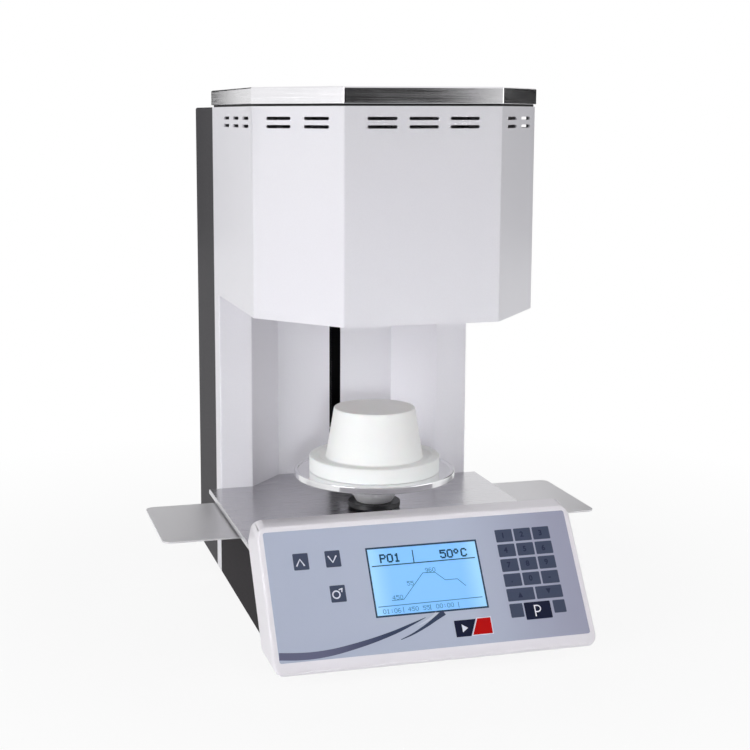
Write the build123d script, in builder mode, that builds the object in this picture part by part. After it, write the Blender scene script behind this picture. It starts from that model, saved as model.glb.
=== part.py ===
from build123d import *
import os
from math import cos, pi, radians, sin, sqrt, tan

# Dental lab furnace: an eight-sided heating head on a folded column, a lift that raises the firing
# table into the head, a dark base with a stainless deck, and a tilted control panel in front.
# Millimetres. X to the right, Y to the back, Z up. The origin is on the bench, under the middle
# of the whole furnace.

# ---- driving dimensions ----

# levels
FOOT_HEIGHT = 8.0            # rubber feet; the bottom sheet lies on them
DECK_TOP = 94.0              # stainless deck of the base
HEAD_BOTTOM = 290.0          # underside of the heating head
HEAD_TOP = 473.0             # top edge of head cover, column and rear housing
SEAM_GAP = 2.0               # dark gasket line under the lid
LID_HEIGHT = 14.0

# plan
AXIS_Y = -23.0               # lift axis: middle of plate, table and chamber
HALF_WIDTH = 130.0           # head, column, base and rear housing
HEAD_FRONT = 140.0           # head's front face, ahead of the lift axis
HEAD_SHOULDER = 65.0         # where the side face meets the chamfer, ahead of the lift axis
FRONT_HALF_WIDTH = 69.0      # half of the head's front face
FLANGE_BACK = 103.0          # column's front flanges, behind the lift axis
FLANGE_INNER = 97.0          # half distance between the flanges
RECESS_BACK = 144.0          # back wall of the column's recess, behind the lift axis
RECESS_HALF_WIDTH = 61.0     # half width of that back wall
COLUMN_BACK = 125.0          # where the white column ends and the dark housing starts
HOUSING_BACK = 222.0         # rear panel's outer face

# sheets and fits
SHEET = 1.5                  # painted steel sheet
STAINLESS = 1.2              # lid sheet
DECK_SHEET = 1.5
BEND = 2.0                   # outer radius of a sheet's bend
RUN_GAP = 0.3                # free gap between pieces that move past each other
SHAFT_GAP = 0.05             # radial running clearance
SEAT_GAP = 0.2               # loose seat of one fixed piece in another

# column slot
SLOT_WIDTH = 12.0
SLOT_HEAD_ROOM = 6.0         # slot above the raised arm

# lift plate, table, hub and arm
PLATE_TOP = 132.0            # rim of the lowered plate
PLATE_RADIUS = 76.5
PLATE_RIM_WIDTH = 3.0
PLATE_RIM_HEIGHT = 6.0
PLATE_DISH = 1.0             # floor of the dish below the rim
HUB_TOP_RADIUS = 30.0
HUB_FOOT_RADIUS = 17.0
HUB_HEIGHT = 21.5
PLATE_THICKNESS = 9.0
TABLE_FLANGE_RADIUS = 62.0
TABLE_FLANGE_HEIGHT = 14.5
TABLE_CONE_FOOT = 46.3
TABLE_CONE_TOP = 38.5
TABLE_HEIGHT = 60.5
TABLE_GROOVE_RADIUS = 54.0
TABLE_GROOVE_DEPTH = 1.5
SPIGOT_RADIUS = 8.0
SPIGOT_LENGTH = 3.0
BOSS_RADIUS = 25.0
BOSS_HEIGHT = 4.5
ARM_WIDTH = 10.0
ARM_HEIGHT = 22.0
ARM_PAD_WIDTH = 60.0
ARM_PAD_THICKNESS = 6.0

# heating chamber
RING_HEIGHT = 10.0
RING_INNER = 64.0
RING_OUTER = 100.0
PLATE_OPENING_GAP = 2.0      # head floor's opening round the plate
SEAL_INNER = 67.0
SEAL_WIDTH = 6.0
SEAL_DEPTH = 2.5
SEAL_PROUD = 0.5
SEAL_EDGE = 1.5
CAN_RADIUS = 96.0
CAN_WALL = 1.5
CAN_FLANGE = 2.0
PLUG_GAP = 2.5               # air round the table's plug in the lower insulation
PLUG_ROOM = 1.5              # air over the table's flange
CHAMBER_RADIUS = 45.0
ROOF_ROOM = 33.5             # air over the can, under the lid
QUARTZ_WALL = 5.0
WINDING_WALL = 3.0
LOWER_INSULATION = 46.5
TOP_INSULATION = 30.0
PROBE_RADIUS = 2.0
PROBE_SHARE = 0.22           # probe's reach, as a share of the chamber's height
TERMINAL_SPREAD = 51.5       # heater terminals, from the chamber's axis
TERMINAL_RADIUS = 2.0
TERMINAL_RISE = 14.0

# lift drive, behind the recess wall
DRIVE_BACK = 176.0           # screw and rods, behind the lift axis
ROD_SPREAD = 32.0
ROD_RADIUS = 5.0
SCREW_RADIUS = 5.0
BUSH_WALL = 3.0
NUT_WALL = 3.0
NUT_FLANGE_RADIUS = 14.0
NUT_FLANGE = 4.0
CARRIAGE_SIZE = (92.0, 32.0, 40.0)
CARRIAGE_EDGE = 1.0
BLOCK_HALF_WIDTH = 44.0
BLOCK_BACK = 192.0           # rear face of the bearing blocks, behind the lift axis
LOWER_BLOCK = 10.0
UPPER_BLOCK = 12.0
UPPER_ROOM = 30.0            # above the raised carriage
BRACKET_WEB = 3.0
MOTOR_SIZE = 42.0
MOTOR_CORNER = 4.0
MOTOR_HEIGHT = 34.0
MOTOR_FLOOR_GAP = 2.5        # air under the motor
MOTOR_SHAFT_RADIUS = 2.5
MOTOR_SHAFT_DEPTH = 20.0     # shaft inside the motor
MOTOR_BRACKET = 6.0
COUPLING_RADIUS = 9.5
COUPLING_HEIGHT = 20.0
COUPLING_GAP = 4.0
SWITCH_SIZE = (12.0, 10.0, 20.0)
SWITCH_OFFSET = 54.0

# base
DECK_OVERHANG = 12.0         # deck beyond the base, each side
DECK_LIP = 4.0
DECK_ROUND = 1.2
DECK_SETBACK = 0.5           # deck's rear edge ahead of the flanges
SHELF_REACH = 210.0          # outer edge of a shelf, pulled out
SHELF_INSIDE = 35.0          # part of a shelf inside the base wall
SHELF_FRONT = 45.0           # shelf's front edge, ahead of the lift axis
SHELF_BACK = 75.0
SHELF_SHEET = 1.5
SHELF_DROP = 5.0             # shelf below the deck sheet
SLIT_ROOM = 1.5              # slit beyond the shelf, each way
SHELF_CORNER = 8.0
RAIL_GAP = 0.4
RAIL_WIDTH = 8.0
RAIL_FLOOR = 1.1

# control panel: a slab that leans back, set out from its lower front edge
PANEL_FRONT = -222.7         # lower front edge
PANEL_BOTTOM = 13.0
PANEL_LEAN = 34.3            # degrees from upright
PANEL_FACE = 128.5           # front face, along the slope
PANEL_DEPTH = 38.0
PANEL_OVERHANG = 1.0         # panel beyond the deck, each side
CREST_DEPTH = 10.3
CREST_RISE = 139.0
REAR_RISE = 129.5
PANEL_WALL = 2.5
PANEL_CORNER = 9.0
PANEL_EDGE = 2.5
OVERLAY_SIDE = 5.5           # overlay inside the panel's ends
OVERLAY_HEIGHT = 111.5
OVERLAY_MARGIN = 12.3        # overlay's lower edge above the slab's lower edge, along the slope
OVERLAY_SHEET = 0.6
OVERLAY_SINK = 0.3
OVERLAY_CORNER = 2.0
SCREEN_WIDTH = 101.0
SCREEN_HEIGHT = 61.0
SCREEN_DROP = 20.3           # below the overlay's upper edge
SCREEN_SEAT = 3.8            # ledge under the window's edge
SCREEN_CORNER = 1.5
WINDOW_SHEET = 0.5
MODULE_SIZE = (118.0, 74.0, 9.0)
BOARD_SIZE = (220.0, 88.0, 1.6)
CHIP_SIZE = (14.0, 18.0, 3.0)
CHIP_SPOTS = ((-80.0, 50.0), (-55.0, 50.0), (70.0, 55.0), (90.0, 75.0))
PANEL_SHEET_GAP = 2.0        # rear sheet short of the opening, above and below

# top return of the head cover, and its vent slots
RETURN_WIDTH = 14.0
VENT_LENGTH = 26.0
VENT_HEIGHT = 2.8
VENT_DROP = 10.2             # upper row below the head's top edge
VENT_ROW = 6.9
VENT_ROWS = 2
SIDE_VENTS = 3
VENT_PITCH_FRONT = 36.1
VENT_PITCH_CHAMFER = 40.0
VENT_PITCH_SIDE = 43.8
VENT_SIDE_START = 29.0       # first side slot's middle, from the shoulder

# electrics in the base
TOROID_RADIUS = 44.0
TOROID_HEIGHT = 42.0
TOROID_HOLE = 13.0
TOROID_EDGE = 8.0
TOROID_X = 62.0
TOROID_Y = -10.0             # behind the lift axis
POWER_BOARD = (96.0, 120.0, 1.6)
POWER_X = -62.0
POST_INSET = 6.0             # board's posts inside its edges
SINK_SPOT = (-20.0, -25.0)   # from the board's middle
CAPACITOR_SPOTS = ((25.0, -35.0), (25.0, -8.0))
RELAY_SPOT = (-10.0, 30.0)
STANDOFF = 8.0
STANDOFF_RADIUS = 3.5
FIN_COUNT = 7
FIN_PITCH = 5.0
FIN_SHEET = 1.6
FIN_LENGTH = 40.0
FIN_HEIGHT = 24.0
SINK_BASE = 4.0
CAPACITOR_RADIUS = 11.0
CAPACITOR_HEIGHT = 28.0
RELAY_SIZE = (30.0, 26.0, 20.0)

# feet and cooling slots in the bottom
FOOT_RADIUS = 11.0
FOOT_TAPER = 12.0            # degrees
FOOT_X = 92.0
FOOT_FRONT = 118.0           # ahead of the lift axis
FOOT_BACK = 190.0            # behind the lift axis
COOLING_SLOTS = 7
COOLING_PITCH = 9.0
COOLING_LENGTH = 60.0
COOLING_WIDTH = 3.5

# rear fittings, all heights above the bench
FAN_INSET = 50.0             # fan's middle inside the housing's side
FAN_Z = 66.0
FAN_SIZE = 60.0
FAN_CORNER = 4.0
FAN_DEPTH = 25.0
FAN_BORE = 28.5
FAN_HUB = 13.0
FAN_TIP_GAP = 1.0
FAN_BLADES = 7
INLET_INSET = 38.0           # inlet and mains switch inside the housing's other side
OUTLET_INSET = 80.0          # pump's outlet and fuse holder, likewise
SOCKET_Z = 48.0
SOCKET_BODY = (27.0, 20.0)
SOCKET_FLANGE = (33.0, 26.0)
SOCKET_FLANGE_SHEET = 3.0
SOCKET_CORNER = 3.0
SOCKET_DEPTH = 22.0
SOCKET_CAVITY = (23.0, 16.0, 17.0)
PIN_PITCH = 7.0
PIN_RISE = 2.0
PIN_LENGTH = 11.0
PIN_SIZE = (2.0, 4.0)
OUTLET_CORE = (19.0, 12.0)
OUTLET_CORE_CORNER = 2.0
OUTLET_PITCH = 6.0
OUTLET_SLOT = (2.2, 4.4)
MAINS_SWITCH_Z = 84.0
MAINS_SWITCH_BODY = (19.0, 12.8)
MAINS_SWITCH_FLANGE = (22.0, 15.0)
SWITCH_FLANGE_SHEET = 2.0
SWITCH_CORNER = 1.5
SWITCH_SKIN = 0.4            # plastic outside the rocker's pin holes
ROCKER_TILT = 10.0
FUSE_RADIUS = 6.0
CAP_RADIUS = 8.0
CAP_LENGTH = 9.0
CAP_EDGE = 1.0
CAP_SLOT = (10.0, 1.4, 1.5)
PIPE_DROP = 48.0             # vacuum pipe below the head's top edge
PIPE_RADIUS = 5.0
PIPE_HOLE_GAP = 1.0
PORT_REACH = 21.5            # vacuum port beyond the rear panel
VALVE_SIZE = (30.0, 40.0, 30.0)
VALVE_EDGE = 2.0
SCREW_HEAD_RADIUS = 3.2
SCREW_HEAD_HEIGHT = 2.0
SCREW_HEAD_EDGE = 0.8
SCREW_SOCKET = 1.45          # across a socket's corners, half
SCREW_SOCKET_DEPTH = 1.0

# column posts and head brackets
POST_SHEET = 2.0
POST_FLANGE = 24.0
BRACKET_SHEET = 2.0
BRACKET_INSET = 18.0         # bracket inside the head's side
BRACKET_LENGTH = 60.0
BRACKET_HEIGHT = 110.0
BRACKET_FOOT = 12.0

# gasket and lid
GASKET_SETBACK = 1.3
GASKET_WIDTH = 7.0
LID_OUTSET = 1.0
LID_RETURN = 8.0
LID_EDGE = 1.5

# edges of plate and table
PLATE_ROLL = 2.0
TABLE_EDGE = 2.5

# can's port, probe head and terminals
PORT_START = 5.0             # port's root inside the can's outer wall
PORT_LENGTH = 12.0
PROBE_HEAD_RADIUS = 9.0
PROBE_HEAD_HEIGHT = 12.0
TERMINAL_INSULATOR = 6.0

# valve coil and port collar
COIL_RADIUS = 11.0
COIL_HEIGHT = 22.0
COLLAR_RADIUS = 9.0
COLLAR_LENGTH = 6.0

# rear panel
LOUVRE_LENGTH = 70.0
LOUVRE_WIDTH = 3.5
LOUVRE_PITCH = 9.0
LOUVRE_ROWS = 8
LOUVRE_X = 66.0
LOUVRE_RISE = 81.0           # lower louvres above the deck
LOUVRE_DROP = 98.0           # upper louvres below the head's top edge
REAR_SCREW_INSET = 12.0      # screws inside the housing's sides
REAR_SCREW_EDGE = 15.0       # end screws inside the panel's ends
REAR_SCREW_ROWS = 4

# mains switch
ROCKER_PIN_RADIUS = 1.0
ROCKER_DEPTH = 3.0           # rocker's pin inside the panel's outer face
WELL = (15.0, 9.4)
WELL_DEPTH = 14.0
ROCKER_HALF = 6.4
ROCKER_WAIST = 5.4           # rocker's half width at its pin
ROCKER_CROWN = 4.2           # rocker's ends beyond its pin
ROCKER_ROOT = 3.0
ROCKER_HOLLOW = 0.8          # middle of the rocker's face below its ends

# fan
FAN_HOLE = 27.0
CORE_HEIGHT = 5.0
SPOKE_WIDTH = 4.0
SPOKE_ROOT = 0.5             # spokes run into the frame
ROTOR_GAP = 1.0
ROTOR_EDGE = 1.5
BLADE_ROOT = 1.5             # blades run into the hub
BLADE_SHARE = 0.9            # blade's width, as a share of the hub's height
FAN_SHAFT = 1.5
BLADE_TWIST = 38.0
BLADE_SHEET = 1.4
GUARD_RINGS = 4
GUARD_WIRE = 1.6
GUARD_LAP = 2.0              # outer ring beyond the hole
GUARD_BAR = 2.4
GUARD_SPAN = 72.0
GUARD_TURNS = (45.0, 135.0)

# tolerance for finding an edge by its place
TOUCH = 0.01

# ---- derived levels and places ----

DECK_HALF_WIDTH = HALF_WIDTH + DECK_OVERHANG
PANEL_HALF_WIDTH = DECK_HALF_WIDTH + PANEL_OVERHANG
OVERLAY_WIDTH = 2 * (PANEL_HALF_WIDTH - OVERLAY_SIDE)
SHEET_FLOOR = FOOT_HEIGHT + SHEET                   # upper side of the bottom sheet
DECK_UNDER = DECK_TOP - DECK_SHEET
INNER_WIDTH = HALF_WIDTH - SHEET
FAN_X = HALF_WIDTH - FAN_INSET
INLET_X = INLET_INSET - HALF_WIDTH
OUTLET_X = OUTLET_INSET - HALF_WIDTH
FLOOR_TOP = HEAD_BOTTOM + SHEET                     # upper side of the head floor
RING_TOP = FLOOR_TOP + RING_HEIGHT
TABLE_FOOT = PLATE_TOP - PLATE_DISH
LIFT_TRAVEL = FLOOR_TOP - SEAL_PROUD - RUN_GAP - PLATE_TOP
HUB_TOP = TABLE_FOOT - PLATE_THICKNESS
HUB_FOOT = HUB_TOP - HUB_HEIGHT
shelf_top = DECK_UNDER - SHELF_DROP
shelf_under = shelf_top - SHELF_SHEET
ARM_FOOT = HUB_FOOT - BOSS_HEIGHT
PLUG_FLOOR = TABLE_FOOT + TABLE_FLANGE_HEIGHT + LIFT_TRAVEL + PLUG_ROOM
CHAMBER_FLOOR = RING_TOP + LOWER_INSULATION
CAN_TOP = HEAD_TOP - ROOF_ROOM
CHAMBER_CEILING = CAN_TOP - CAN_WALL - TOP_INSULATION
CHAMBER_HEIGHT = CHAMBER_CEILING - CHAMBER_FLOOR
PROBE_TIP = CHAMBER_CEILING - PROBE_SHARE * CHAMBER_HEIGHT
INSULATION_RADIUS = CAN_RADIUS - CAN_WALL - SEAT_GAP
WALL_BACK = AXIS_Y + RECESS_BACK + SHEET            # rear side of the recess wall
DRIVE_Y = AXIS_Y + DRIVE_BACK
REAR_FACE = AXIS_Y + HOUSING_BACK
REAR_INNER = REAR_FACE - SHEET
PIPE_Z = HEAD_TOP - PIPE_DROP


def mitred(points, thickness):
    """Closed outline of a folded sheet: the outer line, and the same line moved to its left."""
    line = [Vector(*p) for p in points]
    runs = [(b - a).normalized() for a, b in zip(line, line[1:])]
    normals = [Vector(-r.Y, r.X) for r in runs]
    inner = []
    for i, p in enumerate(line):
        before = normals[max(i - 1, 0)]
        after = normals[min(i, len(normals) - 1)]
        turn = before + after
        inner.append(p + turn * (2 * thickness / turn.dot(turn)))
    return [(p.X, p.Y) for p in line + inner[::-1]]


def inset(points, distance):
    """Outline moved inwards by a distance; points run anticlockwise."""
    ring = [Vector(*p) for p in points]
    moved = []
    for i, p in enumerate(ring):
        run_in = (p - ring[i - 1]).normalized()
        run_out = (ring[(i + 1) % len(ring)] - p).normalized()
        turn = Vector(-run_in.Y, run_in.X) + Vector(-run_out.Y, run_out.X)
        moved.append(p + turn * (2 * distance / turn.dot(turn)))
    return [(p.X, p.Y) for p in moved]


def upright_edges(part, points):
    """Vertical edges of a part that stand on the given plan points."""
    spots = [Vector(*p) for p in points]
    found = []
    for edge in part.edges().filter_by(Axis.Z):
        middle = edge.center()
        if any((Vector(middle.X, middle.Y) - s).length < TOUCH for s in spots):
            found.append(edge)
    return found


def panel_point(depth, rise):
    """Side-view place (Y, Z) at a depth behind the panel's face and a rise along its slope."""
    lean = radians(PANEL_LEAN)
    y = PANEL_FRONT + depth * cos(lean) + rise * sin(lean)
    z = PANEL_BOTTOM - depth * sin(lean) + rise * cos(lean)
    return (y, z)


def panel_back(z):
    """Y of the slab's rear face at a height."""
    lean = radians(PANEL_LEAN)
    return PANEL_FRONT + (z - PANEL_BOTTOM) * tan(lean) + PANEL_DEPTH / cos(lean)


def face_plane(depth):
    """Plane parallel to the panel's face, y up the slope, z out of the face."""
    lean = radians(PANEL_LEAN)
    y, z = panel_point(depth, 0)
    return Plane(origin=(0, y, z), x_dir=(1, 0, 0), z_dir=(0, -cos(lean), sin(lean)))


def back_plane(y):
    """Upright plane that faces the back; its x runs to -X, its y up."""
    return Plane(origin=(0, y, 0), x_dir=(-1, 0, 0), z_dir=(0, 1, 0))


os.makedirs("parts", exist_ok=True)

LIFT_AXIS = Plane(origin=(0, AXIS_Y, 0))

head_line = [
    (-HALF_WIDTH, AXIS_Y + FLANGE_BACK),
    (-HALF_WIDTH, AXIS_Y - HEAD_SHOULDER),
    (-FRONT_HALF_WIDTH, AXIS_Y - HEAD_FRONT),
    (FRONT_HALF_WIDTH, AXIS_Y - HEAD_FRONT),
    (HALF_WIDTH, AXIS_Y - HEAD_SHOULDER),
    (HALF_WIDTH, AXIS_Y + FLANGE_BACK),
]
inner_head_line = mitred(head_line, SHEET)[:len(head_line) - 1:-1]
column_line = [
    (-HALF_WIDTH, AXIS_Y + COLUMN_BACK),
    (-HALF_WIDTH, AXIS_Y + FLANGE_BACK),
    (-FLANGE_INNER, AXIS_Y + FLANGE_BACK),
    (-RECESS_HALF_WIDTH, AXIS_Y + RECESS_BACK),
    (RECESS_HALF_WIDTH, AXIS_Y + RECESS_BACK),
    (FLANGE_INNER, AXIS_Y + FLANGE_BACK),
    (HALF_WIDTH, AXIS_Y + FLANGE_BACK),
    (HALF_WIDTH, AXIS_Y + COLUMN_BACK),
]
recess_tongue = [
    (FLANGE_INNER - SEAT_GAP, AXIS_Y + FLANGE_BACK - SEAT_GAP),
    (RECESS_HALF_WIDTH - SEAT_GAP, AXIS_Y + RECESS_BACK - SEAT_GAP),
    (-RECESS_HALF_WIDTH + SEAT_GAP, AXIS_Y + RECESS_BACK - SEAT_GAP),
    (-FLANGE_INNER + SEAT_GAP, AXIS_Y + FLANGE_BACK - SEAT_GAP),
]
lid_line = [
    (-HALF_WIDTH, AXIS_Y + COLUMN_BACK),
    (-HALF_WIDTH, AXIS_Y - HEAD_SHOULDER),
    (-FRONT_HALF_WIDTH, AXIS_Y - HEAD_FRONT),
    (FRONT_HALF_WIDTH, AXIS_Y - HEAD_FRONT),
    (HALF_WIDTH, AXIS_Y - HEAD_SHOULDER),
    (HALF_WIDTH, AXIS_Y + COLUMN_BACK),
]

# ---- base ----

# Rubber feet, screwed under the bottom sheet well inside its edges, a little narrower below.
foot_spots = [
    (x, AXIS_Y + y) for x in (-FOOT_X, FOOT_X) for y in (-FOOT_FRONT, FOOT_BACK)
]
with BuildPart() as rubber_feet:
    with BuildSketch(Plane.XY.offset(FOOT_HEIGHT)):
        with Locations(*foot_spots):
            Circle(FOOT_RADIUS)
    extrude(amount=-FOOT_HEIGHT, taper=FOOT_TAPER)
rubber_feet.part.label = "rubber_feet"
export_step(rubber_feet.part, "parts/rubber_feet.step")

# Base chassis: a tray with two sides, a sloped front behind the panel and a rear wall under the
# deck. Its bottom runs on to the rear panel and has cooling slots. A slit in each side lets the
# shelf through.
base_back = AXIS_Y + FLANGE_BACK
slope_wall = SHEET / cos(radians(PANEL_LEAN))
with BuildPart() as base_chassis:
    with BuildSketch(Plane.YZ.offset(-HALF_WIDTH)):
        with BuildLine():
            Polyline(
                (panel_back(FOOT_HEIGHT), FOOT_HEIGHT),
                (base_back, FOOT_HEIGHT),
                (base_back, DECK_UNDER),
                (panel_back(DECK_UNDER), DECK_UNDER),
                close=True,
            )
        make_face()
    extrude(amount=2 * HALF_WIDTH)
    with BuildSketch(Plane.YZ.offset(-INNER_WIDTH)):
        with BuildLine():
            Polyline(
                (panel_back(SHEET_FLOOR) + slope_wall, SHEET_FLOOR),
                (base_back - SHEET, SHEET_FLOOR),
                (base_back - SHEET, DECK_UNDER),
                (panel_back(DECK_UNDER) + slope_wall, DECK_UNDER),
                close=True,
            )
        make_face()
    extrude(amount=2 * INNER_WIDTH, mode=Mode.SUBTRACT)
    with BuildSketch(Plane.YZ.offset(-HALF_WIDTH)):
        with Locations((AXIS_Y + (SHELF_BACK - SHELF_FRONT) / 2, (shelf_top + shelf_under) / 2)):
            Rectangle(SHELF_BACK + SHELF_FRONT + SLIT_ROOM, SHELF_SHEET + 2 * SLIT_ROOM)
    extrude(amount=2 * HALF_WIDTH, mode=Mode.SUBTRACT)
    with BuildSketch(Plane.XY.offset(FOOT_HEIGHT)):
        with Locations((0, (base_back - SHEET + REAR_INNER) / 2)):
            Rectangle(2 * INNER_WIDTH, REAR_INNER - base_back + SHEET)
    extrude(amount=SHEET)
    with BuildSketch(Plane.XY.offset(FOOT_HEIGHT)):
        with Locations((0, AXIS_Y)):
            with GridLocations(0, COOLING_PITCH, 1, COOLING_SLOTS):
                SlotOverall(COOLING_LENGTH, COOLING_WIDTH)
    extrude(amount=SHEET, mode=Mode.SUBTRACT)
base_chassis.part.label = "base_chassis"
export_step(base_chassis.part, "parts/base_chassis.step")

# Stainless deck: a flat sheet with folded side lips, and a tongue that fills the column's recess.
deck_front = panel_back(DECK_TOP) + SEAT_GAP
deck_back = AXIS_Y + FLANGE_BACK - DECK_SETBACK
deck_line = [(-DECK_HALF_WIDTH, deck_front), (DECK_HALF_WIDTH, deck_front)]
deck_line += [(DECK_HALF_WIDTH, deck_back)] + recess_tongue + [(-DECK_HALF_WIDTH, deck_back)]
with BuildPart() as deck:
    with BuildSketch(Plane.XY.offset(DECK_UNDER)):
        with BuildLine():
            Polyline(*deck_line, close=True)
        make_face()
    extrude(amount=DECK_SHEET)
    with BuildSketch(Plane.XY.offset(DECK_UNDER)):
        for side in (-1, 1):
            with Locations((side * (DECK_HALF_WIDTH - DECK_SHEET / 2), (deck_front + deck_back) / 2)):
                Rectangle(DECK_SHEET, deck_back - deck_front)
    extrude(amount=-(DECK_LIP - DECK_SHEET))
    lip_edges = deck.edges().filter_by(Axis.Y).filter_by_position(Axis.Z, DECK_TOP, DECK_TOP)
    fillet(lip_edges, DECK_ROUND)
deck.part.label = "deck"
export_step(deck.part, "parts/deck.step")

# Two channel rails under the deck that guide the shelves' front and rear edges.
rail_floor = shelf_under - RAIL_GAP - RAIL_FLOOR
with BuildPart() as shelf_rails:
    for edge_y, inward in ((AXIS_Y - SHELF_FRONT, 1), (AXIS_Y + SHELF_BACK, -1)):
        with BuildSketch(Plane.YZ.offset(-INNER_WIDTH + SEAT_GAP)):
            with Locations((edge_y, (rail_floor + DECK_UNDER) / 2)):
                Rectangle(RAIL_WIDTH, DECK_UNDER - rail_floor)
            with Locations((edge_y + inward * (RAIL_WIDTH / 2 - RAIL_GAP), shelf_under - RAIL_GAP)):
                Rectangle(
                    RAIL_WIDTH,
                    SHELF_SHEET + 2 * RAIL_GAP,
                    align=(Align.CENTER, Align.MIN),
                    mode=Mode.SUBTRACT,
                )
        extrude(amount=2 * (INNER_WIDTH - SEAT_GAP))
shelf_rails.part.label = "shelf_rails"
export_step(shelf_rails.part, "parts/shelf_rails.step")

# Side shelves: flat stainless sheets with rounded outer corners, run in the rails.
shelf_inner = HALF_WIDTH - SHELF_INSIDE
for side, name in ((-1, "shelf_left"), (1, "shelf_right")):
    with BuildPart() as shelf:
        with BuildSketch(Plane.XY.offset(shelf_under)):
            with Locations((side * (SHELF_REACH + shelf_inner) / 2, AXIS_Y + (SHELF_BACK - SHELF_FRONT) / 2)):
                Rectangle(SHELF_REACH - shelf_inner, SHELF_BACK + SHELF_FRONT)
        extrude(amount=SHELF_SHEET)
        outer_corners = shelf.edges().filter_by(Axis.Z).sort_by(Axis.X)
        fillet(outer_corners[:2] if side < 0 else outer_corners[-2:], SHELF_CORNER)
    shelf.part.label = name
    export_step(shelf.part, f"parts/{name}.step")

# ---- column and rear housing ----

# White front sheet of the column: side strips, flanges, and the recess with the arm's slot.
slot_foot = DECK_TOP
slot_top = ARM_FOOT + ARM_HEIGHT + LIFT_TRAVEL + SLOT_HEAD_ROOM
with BuildPart() as column_front:
    with BuildSketch(Plane.XY.offset(FOOT_HEIGHT)):
        with BuildLine():
            Polyline(*mitred(column_line, SHEET), close=True)
        make_face()
    extrude(amount=HEAD_TOP - FOOT_HEIGHT)
    fillet(upright_edges(column_front, column_line[1:3] + column_line[5:7]), BEND)
    with BuildSketch(Plane.XZ.offset(-(AXIS_Y + RECESS_BACK))):
        with Locations((0, slot_foot)):
            Rectangle(SLOT_WIDTH, slot_top - slot_foot, align=(Align.CENTER, Align.MIN))
        with Locations((0, PIPE_Z)):
            Circle(PIPE_RADIUS + PIPE_HOLE_GAP)
    extrude(amount=-2 * SHEET, both=True, mode=Mode.SUBTRACT)
    with BuildSketch(Plane.XY.offset(FOOT_HEIGHT)):
        with Locations((0, base_back)):
            Rectangle(2 * INNER_WIDTH, 2 * RECESS_BACK)
    extrude(amount=SHEET, mode=Mode.SUBTRACT)
    with BuildSketch(Plane.XY.offset(HEAD_TOP)):
        with Locations((0, AXIS_Y + COLUMN_BACK)):
            Rectangle(2 * HALF_WIDTH, RECESS_BACK, align=(Align.CENTER, Align.MIN))
    extrude(amount=-SHEET, mode=Mode.SUBTRACT)
column_front.part.label = "column_front"
export_step(column_front.part, "parts/column_front.step")

# Angle posts that join the column's flanges to the rear housing's sides.
post_front = AXIS_Y + FLANGE_BACK + SHEET
with BuildPart() as column_posts:
    for side in (-1, 1):
        corner = side * INNER_WIDTH
        with BuildSketch(Plane.XY.offset(SHEET_FLOOR)):
            with BuildLine():
                Polyline(
                    (corner, post_front),
                    (corner, REAR_INNER - POST_FLANGE),
                    (corner - side * POST_SHEET, REAR_INNER - POST_FLANGE),
                    (corner - side * POST_SHEET, post_front + POST_SHEET),
                    (corner - side * POST_FLANGE, post_front + POST_SHEET),
                    (corner - side * POST_FLANGE, post_front),
                    close=True,
                )
            make_face()
    extrude(amount=HEAD_TOP - SHEET - SHEET_FLOOR)
column_posts.part.label = "column_posts"
export_step(column_posts.part, "parts/column_posts.step")

# Dark rear housing: two sides and a top, folded from one sheet.
housing_front = AXIS_Y + COLUMN_BACK
housing_line = [
    (-HALF_WIDTH, FOOT_HEIGHT),
    (-HALF_WIDTH, HEAD_TOP),
    (HALF_WIDTH, HEAD_TOP),
    (HALF_WIDTH, FOOT_HEIGHT),
]
with BuildPart() as rear_housing:
    with BuildSketch(Plane.XZ.offset(-housing_front)):
        with BuildLine():
            Polyline(*mitred(housing_line[::-1], SHEET), close=True)
        make_face()
    extrude(amount=-(REAR_FACE - housing_front))
    ridge = rear_housing.edges().filter_by(Axis.Y).filter_by_position(Axis.Z, HEAD_TOP, HEAD_TOP)
    fillet(ridge, BEND)
rear_housing.part.label = "rear_housing"
export_step(rear_housing.part, "parts/rear_housing.step")

# Rear panel with the cut-outs of its fittings and two fields of louvre slots.
screw_low = SHEET_FLOOR + REAR_SCREW_EDGE
screw_step = (HEAD_TOP - REAR_SCREW_EDGE - screw_low) / (REAR_SCREW_ROWS - 1)
rear_screw_spots = [
    (side * (HALF_WIDTH - REAR_SCREW_INSET), screw_low + row * screw_step)
    for side in (-1, 1) for row in range(REAR_SCREW_ROWS)
]
louvre_levels = (DECK_TOP + LOUVRE_RISE, HEAD_TOP - LOUVRE_DROP)
with BuildPart() as rear_panel:
    with BuildSketch(back_plane(REAR_INNER)):
        with Locations((0, (SHEET_FLOOR + HEAD_TOP - SHEET) / 2)):
            Rectangle(2 * INNER_WIDTH, HEAD_TOP - SHEET - SHEET_FLOOR)
        with Locations((-FAN_X, FAN_Z)):
            Circle(FAN_HOLE, mode=Mode.SUBTRACT)
        with Locations((-INLET_X, SOCKET_Z), (-OUTLET_X, SOCKET_Z)):
            Rectangle(*SOCKET_BODY, mode=Mode.SUBTRACT)
        with Locations((-INLET_X, MAINS_SWITCH_Z)):
            Rectangle(*MAINS_SWITCH_BODY, mode=Mode.SUBTRACT)
        with Locations((-OUTLET_X, MAINS_SWITCH_Z)):
            Circle(FUSE_RADIUS, mode=Mode.SUBTRACT)
        with Locations((0, PIPE_Z)):
            Circle(PIPE_RADIUS, mode=Mode.SUBTRACT)
        for z in louvre_levels:
            with Locations((-LOUVRE_X, z), (LOUVRE_X, z)):
                with GridLocations(0, LOUVRE_PITCH, 1, LOUVRE_ROWS):
                    SlotOverall(LOUVRE_LENGTH, LOUVRE_WIDTH, mode=Mode.SUBTRACT)
    extrude(amount=SHEET)
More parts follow.
